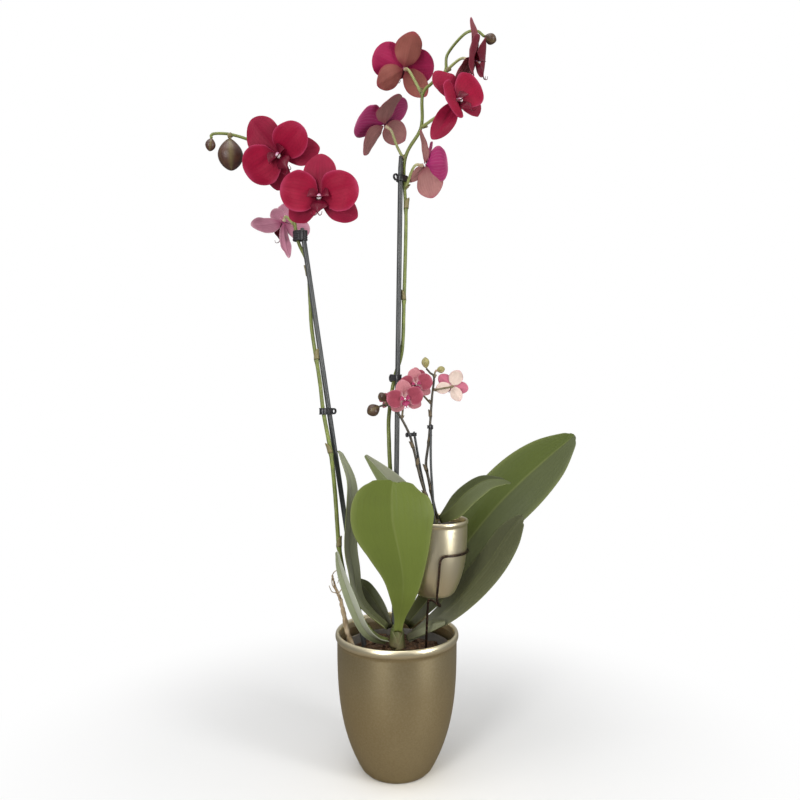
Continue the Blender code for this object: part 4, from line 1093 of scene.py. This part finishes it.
spikes = {
    "flower_spike_left": {
        "stem": [(-9.8, 2, 7), (-22, 2, 12), (-34.9, 0, 27), (-47.3, -3, 51), (-55.6, -4, 78),
                 (-60.8, -4, 106), (-62.5, -4, 126), (-65.4, -3, 166), (-69.7, -3, 206), (-78.1, 1, 250),
                 (-82.1, 1.8, 283), (-90.9, 7.6, 336), (-93.4, 11.2, 368), (-96.3, 11.6, 408),
                 (-105.5, 8, 431), (-110.4, 3, 458), (-116.7, 4, 485), (-123.1, 5, 501),
                 (-134.8, 4, 519), (-147.5, 1, 530.5), (-156.6, -3, 536.4), (-175.3, -6, 541),
                 (-190, -8, 541), (-194.5, -8, 539), budEnd("bud_left_small")],
        "radii": (2.5, 1.4), "stalkRadius": 1.5, "look": "green", "joints": [58, 108, 206, 304, 396],
        "scales": [-1, 1, -1, 1, -1],
        "stalks": [stalkTo((-123.1, 5, 501), "flower_left_top"),
                   stalkTo((-110.4, 3, 458), "flower_left_front"),
                   stalkTo((-108, 4.5, 447), "flower_left_back"),
                   [(-173, -5.8, 541), (-175.3, -5.5, 540), budEnd("bud_left_large")]]},
    "flower_spike_right": {
        "stem": [(3, 12.4, 10), (2.8, 18.6, 35), (1, 22, 80), (-5, 23, 150), (-7.7, 22, 191),
                 (-8.8, 22, 218.4), (-8.8, 22, 245.6), (-3.3, 21, 283.8), (5.4, 20, 316.4),
                 (7.5, 19, 370.6), (9.7, 18, 456.9), (8.3, 17.5, 521), (25.7, 10, 554.1),
                 (27.2, 6, 587.1), (37.3, 4, 599.4), (51, 2, 610.6), (54, 6, 631), (72.5, 14, 656.5),
                 (86, 16, 661), budEnd("bud_right")],
        "radii": (2.5, 1.4), "stalkRadius": 1.5, "look": "green", "joints": [72, 160, 262, 371, 470],
        "scales": [1, -1, 1, -1, 1],
        "stalks": [stalkTo((27.2, 6, 587.1), "flower_right_back_high"),
                   [(8.3, 17.5, 521), *stalkTo((0, 21, 538), "flower_right_back_low")],
                   stalkTo((25.7, 10, 554.1), "flower_right_front"),
                   stalkTo((51, 2, 610.6), "flower_right_profile"),
                   stalkTo((9.3, 17.5, 491), "flower_right_low")]},
    "small_spike_left": {
        "stem": [(-4.6, -1, 8), (-4.4, -0.5, 20), (-14.6, -2, 50), (-23.4, -4, 87), (-29.4, -6, 104),
                 (-40.6, -8, 123), (-50, -6, 129), budEnd("small_bud_left")],
        "radii": (1.7, 1.0), "stalkRadius": 1.0, "look": "brown", "joints": [34, 66, 84],
        "scales": [-1, 1, -1],
        "stalks": [stalkTo((-35, -7, 114), "small_flower_front"),
                   stalkTo((-46, -7, 126.5), "small_flower_left"),
                   [(-50, -6, 129), (-52, -6.5, 131), budEnd("small_bud_inner")]]},
    "small_spike_right": {
        "stem": [(3.4, 3.8, 8), (-0.8, 3, 23), (-6.3, 2.4, 49.6), (-9.2, 2.2, 66.6), (-6.8, 2, 86.7),
                 (-5, 2, 106.9), (-2.8, 2, 137.7), (-0.7, 2, 158), (-5, 2, 163.5),
                 budEnd("small_bud_top")],
        "radii": (1.7, 1.0), "stalkRadius": 1.0, "look": "brown", "joints": [38, 60, 90, 118],
        "scales": [1, -1, 1, -1],
        "stalks": [stalkTo((-3.5, 2, 130), "small_flower_upper"),
                   stalkTo((-2, 2, 145), "small_flower_right"),
                   [(-2, 2, 152), *stalkTo((-8, 17, 155), "small_flower_rear")],
                   [(-0.7, 2, 158), (0.5, 4, 164), budEnd("small_bud_right")]]},
}


def husk(shape, path, height, radius, length, turned):
    # a papery triangular scale that wraps the stem just above a joint
    index = min(range(len(path)), key=lambda i: abs(path[i].z - height))
    index = min(max(index, 1), len(path) - 2)
    along = (path[index + 1] - path[index - 1]).normalized()
    across = (Vector((turned, -0.6, 0)) - along * along.dot(Vector((turned, -0.6, 0)))).normalized()
    other = along.cross(across)
    rows, alongs = [], []
    acrosses = [j / 5 - 1 for j in range(11)]
    for i in range(9):
        t = i / 8
        spread = 1.9 * (1 - t) ** 0.55 + 0.06
        reach = radius * 1.16 + 0.25 + radius * 0.7 * t * t
        point = path[index] + along * length * t
        rows.append([point + (across * math.cos(s * spread) + other * math.sin(s * spread)) * reach
                     for s in acrosses])
        alongs.append(t)
    shape.sheet(rows, radius * 0.25, alongs, acrosses, 1.0)


def spikeShape(spike, path):
    shape = Shape()
    last = len(path) - 1
    first, final = spike["radii"]
    radii = []
    for i, point in enumerate(path):
        radius = first + (final - first) * i / last
        swell = sum(math.exp(-(((point.z - joint) / (radius * 1.3)) ** 2)) for joint in spike["joints"])
        radii.append(radius * (1 + 0.3 * min(swell, 1)))
    shape.tube(path, radii, 16, lumps=0.06, seed=3)
    for joint, turned in zip(spike["joints"], spike["scales"]):
        husk(shape, path, joint, first, first * 4.6, turned)
    for points in spike["stalks"]:
        stalk = curveThrough(points, 14)
        count = len(stalk) - 1
        reach = spike["stalkRadius"]
        widths = [reach * (1.2 - 0.25 * math.sin(math.pi * i / count) + 0.2 * smoothStep(0.8, 1, i / count))
                  for i in range(count + 1)]
        shape.tube(stalk, widths, 12, 2.0, lumps=0.08, seed=5)
        # a small scale where the stalk leaves the stem
        husk(shape, stalk, stalk[1].z, reach * 1.25, reach * 3.2, 1)
    return shape


stemLooks = {name: stemPaint(name + "Stem", look) for name, look in stemPaints.items()}
stemPaths = {}
for spikeName, spike in spikes.items():
    path = curveThrough(spike["stem"], 12)
    stemPaths[spikeName] = path
    slotName = "stem_" + spike["look"]
    addPiece(pieceName(spikeName), spikeShape(spike, path), standing(spikeName), stemLooks[spike["look"]],
             spikeName)
print("stems are up")

# buds

budLooks = {
    "bronze": {"main": tone(84, 54, 40), "shade": tone(68, 40, 34), "seam": tone(112, 100, 56)},
    "olive": {"main": tone(88, 66, 48), "shade": tone(72, 50, 40), "seam": tone(112, 98, 58)},
    "lime": {"main": tone(172, 164, 104), "shade": tone(140, 130, 80), "seam": tone(198, 192, 146)},
}


def budPaint(name, look):
    paint = Paint(name, fixed={"Coat Weight": 0.15, "Coat Roughness": 0.3})
    along, across, _ = paint.grown()
    cloud = paint.noise(160, 4, 0.6)
    body = paint.blend(cloud.step(0.3, 0.7), look["shade"], look["main"])
    seam = (abs((across * 3 * math.pi).sine())) ** 12
    body = paint.blend(seam * 0.6 + (1 - along).step(0.75, 1.0) * 0.35, body, look["seam"])
    lines = (1 - abs((across * 24 * math.pi + cloud * 2).sine())) ** 3
    body = paint.blend(lines * 0.25, body, look["shade"])
    paint.finish(body, 0.34 + cloud * 0.18, lines * 0.6 + cloud * 0.5, 0.2, 0.0005)
    return paint


budPaints = {name: budPaint(name + "Bud", look) for name, look in budLooks.items()}
for budName, (centre, toward, length, width, look) in buds.items():
    shape = Shape()
    shape.egg(centre, toward, length, width, 30, 22, point=1.15, ribs=(3, 0.045))
    slotName = "bud_green" if look == "lime" else "bud_brown"
    addPiece(pieceName(budName), shape, standing(budName), budPaints[look], budName)
print("buds are set")

# crowns, made of the old leaf bases that wrap each other, and the dry root

crownFoot = 0.35  # how far a leaf base stands off the soil
crowns = {
    "crown": {"piece": "crownBig", "radius": 9, "height": 26, "bases": 6},
    "small_crown": {"piece": "crownSmall", "radius": 4.2, "height": 8, "bases": 4},
}
crownPaint = Paint("leafBases", fixed={"Coat Weight": 0.15})
crownAlong, crownAcross, _ = crownPaint.grown()
crownCloud = crownPaint.noise(140, 4, 0.6)
crownTone = crownPaint.blend(crownAlong.step(0.1, 0.8), tone(120, 112, 74), tone(92, 104, 52))
crownTone = crownPaint.blend(crownCloud.step(0.4, 0.75) * 0.6, crownTone, tone(78, 66, 44))
crownTone = crownPaint.blend(abs(crownAcross) ** 6 * 0.6, crownTone, tone(150, 142, 104))
crownPaint.finish(crownTone, 0.45 + crownCloud * 0.2,
                  (crownAcross * 40).sine() * 0.3 + crownCloud, 0.3, 0.0006)


def crownShape(crown):
    radius, height, bases = crown["radius"], crown["height"], crown["bases"]
    shape = Shape()
    shape.lathe([(0, 0.3), (radius * 0.86, 0.3), (radius * 0.8, height * 0.4),
                 (radius * 0.5, height * 0.92), (0, height)], 28)
    acrosses = [j / 8 - 1 for j in range(17)]
    for number in range(bases):
        face = math.pi * number + 0.25 * number
        low = height * 0.55 * number / bases + crownFoot
        top = height * (0.62 + 0.38 * (number + 1) / bases)
        wide = radius * (0.99 - 0.32 * number / bases)
        rows, alongs = [], []
        for i in range(11):
            t = i / 10
            spread = 1.75 * (1 - t) ** 0.5 + 0.12
            reach = wide * (1 - 0.34 * t + 0.12 * t * t)
            row = []
            for s in acrosses:
                turn = face + s * spread
                level = low + (top - low) * t - abs(s) * height * 0.08 * (1 - t)
                row.append(Vector((reach * math.cos(turn), reach * math.sin(turn), max(level, crownFoot))))
            rows.append(row)
            alongs.append(t)
        shape.sheet(rows, radius * 0.12, alongs, acrosses, 0.0)
    return shape


for crownName, crown in crowns.items():
    addPiece(crown["piece"], crownShape(crown), standing(crownName), crownPaint, crownName)

# thin wiry ends curl off the top of the root
root = {
    "path": [(-44, -12, 0), (-49, -9, 10), (-54, -8, 30), (-59, -7, 52), (-64, -7, 64), (-68, -6, 78)],
    "thick": 3.6, "thins": 2.7, "curlThick": 0.6, "curlThins": 0.25,
    "curls": [
        [(-64, -7, 62), (-68, -8, 70), (-67, -9, 80), (-62, -9, 84), (-60, -8, 78), (-62, -8, 70)],
        [(-62, -7, 58), (-57, -8, 66), (-55, -9, 74), (-58, -9, 80), (-62, -9, 76)],
        [(-60, -7, 54), (-63, -10, 60), (-68, -10, 62), (-71, -9, 68)]],
}
rootPaint = Paint("dryRoot", fixed={"Roughness": 0.9})
rootCloud = rootPaint.noise(180, 5, 0.7, stretch=(1, 1, 0.35))
rootCrack = rootPaint.noise(420, 4, 0.7, stretch=(1, 1, 0.2))
rootTone = rootPaint.ramp(rootCloud, [(0.3, tone(112, 92, 66)), (0.5, tone(158, 138, 108)),
                                      (0.75, tone(196, 182, 156))])
rootTone = rootPaint.blend(rootCrack.step(0.58, 0.68), rootTone, tone(62, 48, 34))
rootPaint.give("Base Color", rootTone)
rootPaint.bump(rootCloud - rootCrack.step(0.55, 0.7) * 0.8, 0.7, 0.0012)
rootShape = Shape()
rootPath = curveThrough(root["path"], 12)
rootLast = len(rootPath) - 1
radii = [root["thick"] - root["thins"] * i / rootLast for i in range(rootLast + 1)]
rootShape.tube(rootPath, radii, 18, lumps=0.45, seed=8)
for curl in root["curls"]:
    curlPath = curveThrough(curl, 8)
    radii = [root["curlThick"] - root["curlThins"] * i / len(curlPath) for i in range(len(curlPath))]
    rootShape.tube(curlPath, radii, 8, lumps=0.2, seed=2)
addPiece("dryRoot", rootShape, plantBase, rootPaint, "aerial_root")
print("crowns and root are in")

# clips that hold each stem to its stake

clips = {
    "clip_left_upper": {"height": 437, "tall": 11, "wall": 1.3, "pair": ("flower_spike_left", "stake_left"),
                        "ribs": 5},
    "clip_left_lower": {"height": 250, "tall": 7, "wall": 1.3, "pair": ("flower_spike_left", "stake_left"),
                        "loop": (1, 2.6)},
    "clip_right_upper": {"height": 501, "tall": 7, "wall": 1.3,
                         "pair": ("flower_spike_right", "stake_right"), "loop": (1, 3)},
    "clip_right_lower": {"height": 286, "tall": 7, "wall": 1.3,
                         "pair": ("flower_spike_right", "stake_right"), "loop": (0, 3.6)},
    "small_clip_left": {"height": 98, "tall": 3.5, "wall": 0.8,
                        "pair": ("small_spike_left", "small_stake_left"), "loop": (0, 2)},
    "small_clip_right": {"height": 106, "tall": 3.5, "wall": 0.8,
                         "pair": ("small_spike_right", "small_stake_right"), "loop": (1, 2)},
}
clipFit = 0.35  # room between a rod and its clip
clipPaint = Paint("blackClip", fixed={"Coat Weight": 0.3, "Coat Roughness": 0.2})
clipCloud = clipPaint.noise(500, 3)
clipPaint.finish(clipPaint.blend(clipCloud, tone(24, 24, 26), tone(50, 50, 52)), 0.28 + clipCloud * 0.2,
                 clipCloud, 0.15, 0.0003)


def roundedSection(wide, tall, rounding=0.35, steps=3):
    # a rounded rectangle, counter-clockwise, about its middle
    corner = min(wide, tall) * rounding
    section = []
    for quarter, (x, y) in enumerate(((1, 1), (-1, 1), (-1, -1), (1, -1))):
        for step in range(steps + 1):
            angle = math.pi / 2 * (quarter + step / steps)
            section.append((x * (wide / 2 - corner) + corner * math.cos(angle),
                            y * (tall / 2 - corner) + corner * math.sin(angle)))
    return section


def bandOutline(a, b, reachA, reachB, steps=14):
    # round two rods that stand side by side, counter-clockwise seen from above
    toward = math.atan2(b.y - a.y, b.x - a.x)
    level = Vector((0, 0, 1))
    outline = []
    for centre, reach, first in ((a, reachA, toward + math.pi / 2), (b, reachB, toward - math.pi / 2)):
        for step in range(steps + 1):
            angle = first + math.pi * step / steps
            out = Vector((math.cos(angle), math.sin(angle), 0))
            outline.append((centre + out * reach, out, level))
    return outline


def clipShape(clip):
    shape = Shape()
    stemName, stakeName = clip["pair"]
    a, b = atHeight(stemPaths[stemName], clip["height"]), atHeight(stakePaths[stakeName], clip["height"])
    a, b = Vector((a.x, a.y, clip["height"])), Vector((b.x, b.y, clip["height"]))
    wall, tall = clip["wall"], clip["tall"]
    reachA = spikes[stemName]["radii"][0] + clipFit + wall / 2
    reachB = stakes[stakeName]["radius"] + clipFit + wall / 2
    shape.sweep(bandOutline(a, b, reachA, reachB), roundedSection(wall, tall * 0.8))
    for shift in (-1, 1):
        # a thicker lip along the top and the bottom
        lift = Vector((0, 0, shift * tall * 0.42))
        shape.sweep(bandOutline(a + lift, b + lift, reachA + wall * 0.12, reachB + wall * 0.12),
                    roundedSection(wall * 1.3, tall * 0.16, 0.45))
    for rib in range(clip.get("ribs", 0)):
        lift = Vector((0, 0, tall * (rib / (clip["ribs"] - 1) - 0.5) * 0.7))
        shape.sweep(bandOutline(a + lift, b + lift, reachA + wall * 0.5, reachB + wall * 0.5),
                    roundedSection(wall * 0.7, tall * 0.07, 0.45))
    across = (b - a).normalized()
    hinge = a.lerp(b, 0.5)
    front = Vector((across.y, -across.x, 0))
    front = front if front.y < 0 else -front
    knuckle = [hinge + front * reachA - Vector((0, 0, tall * 0.42)), hinge + front * reachA,
               hinge + front * reachA + Vector((0, 0, tall * 0.42))]
    shape.tube(curveThrough(knuckle, 4), [wall * 0.75] * 9, 12)
    if "loop" in clip:
        end, ring = clip["loop"]
        anchor, away = (b, across) if end else (a, -across)
        rod = (reachB if end else reachA) + wall / 2
        middle = anchor + away * (rod + ring - wall * 0.2)
        outline = []
        for step in range(28):
            angle = 2 * math.pi * step / 28
            out = away * math.cos(angle) + Vector((0, 0, 1)) * math.sin(angle)
            outline.append((middle + out * ring, out, away.cross(Vector((0, 0, 1)))))
        shape.sweep(outline, roundedSection(wall * 1.2, wall * 2.1, 0.4))
    return shape


for clipName, clip in clips.items():
    addPiece(pieceName(clipName), clipShape(clip), standing(clipName), clipPaint, clipName)
print("clips are on")
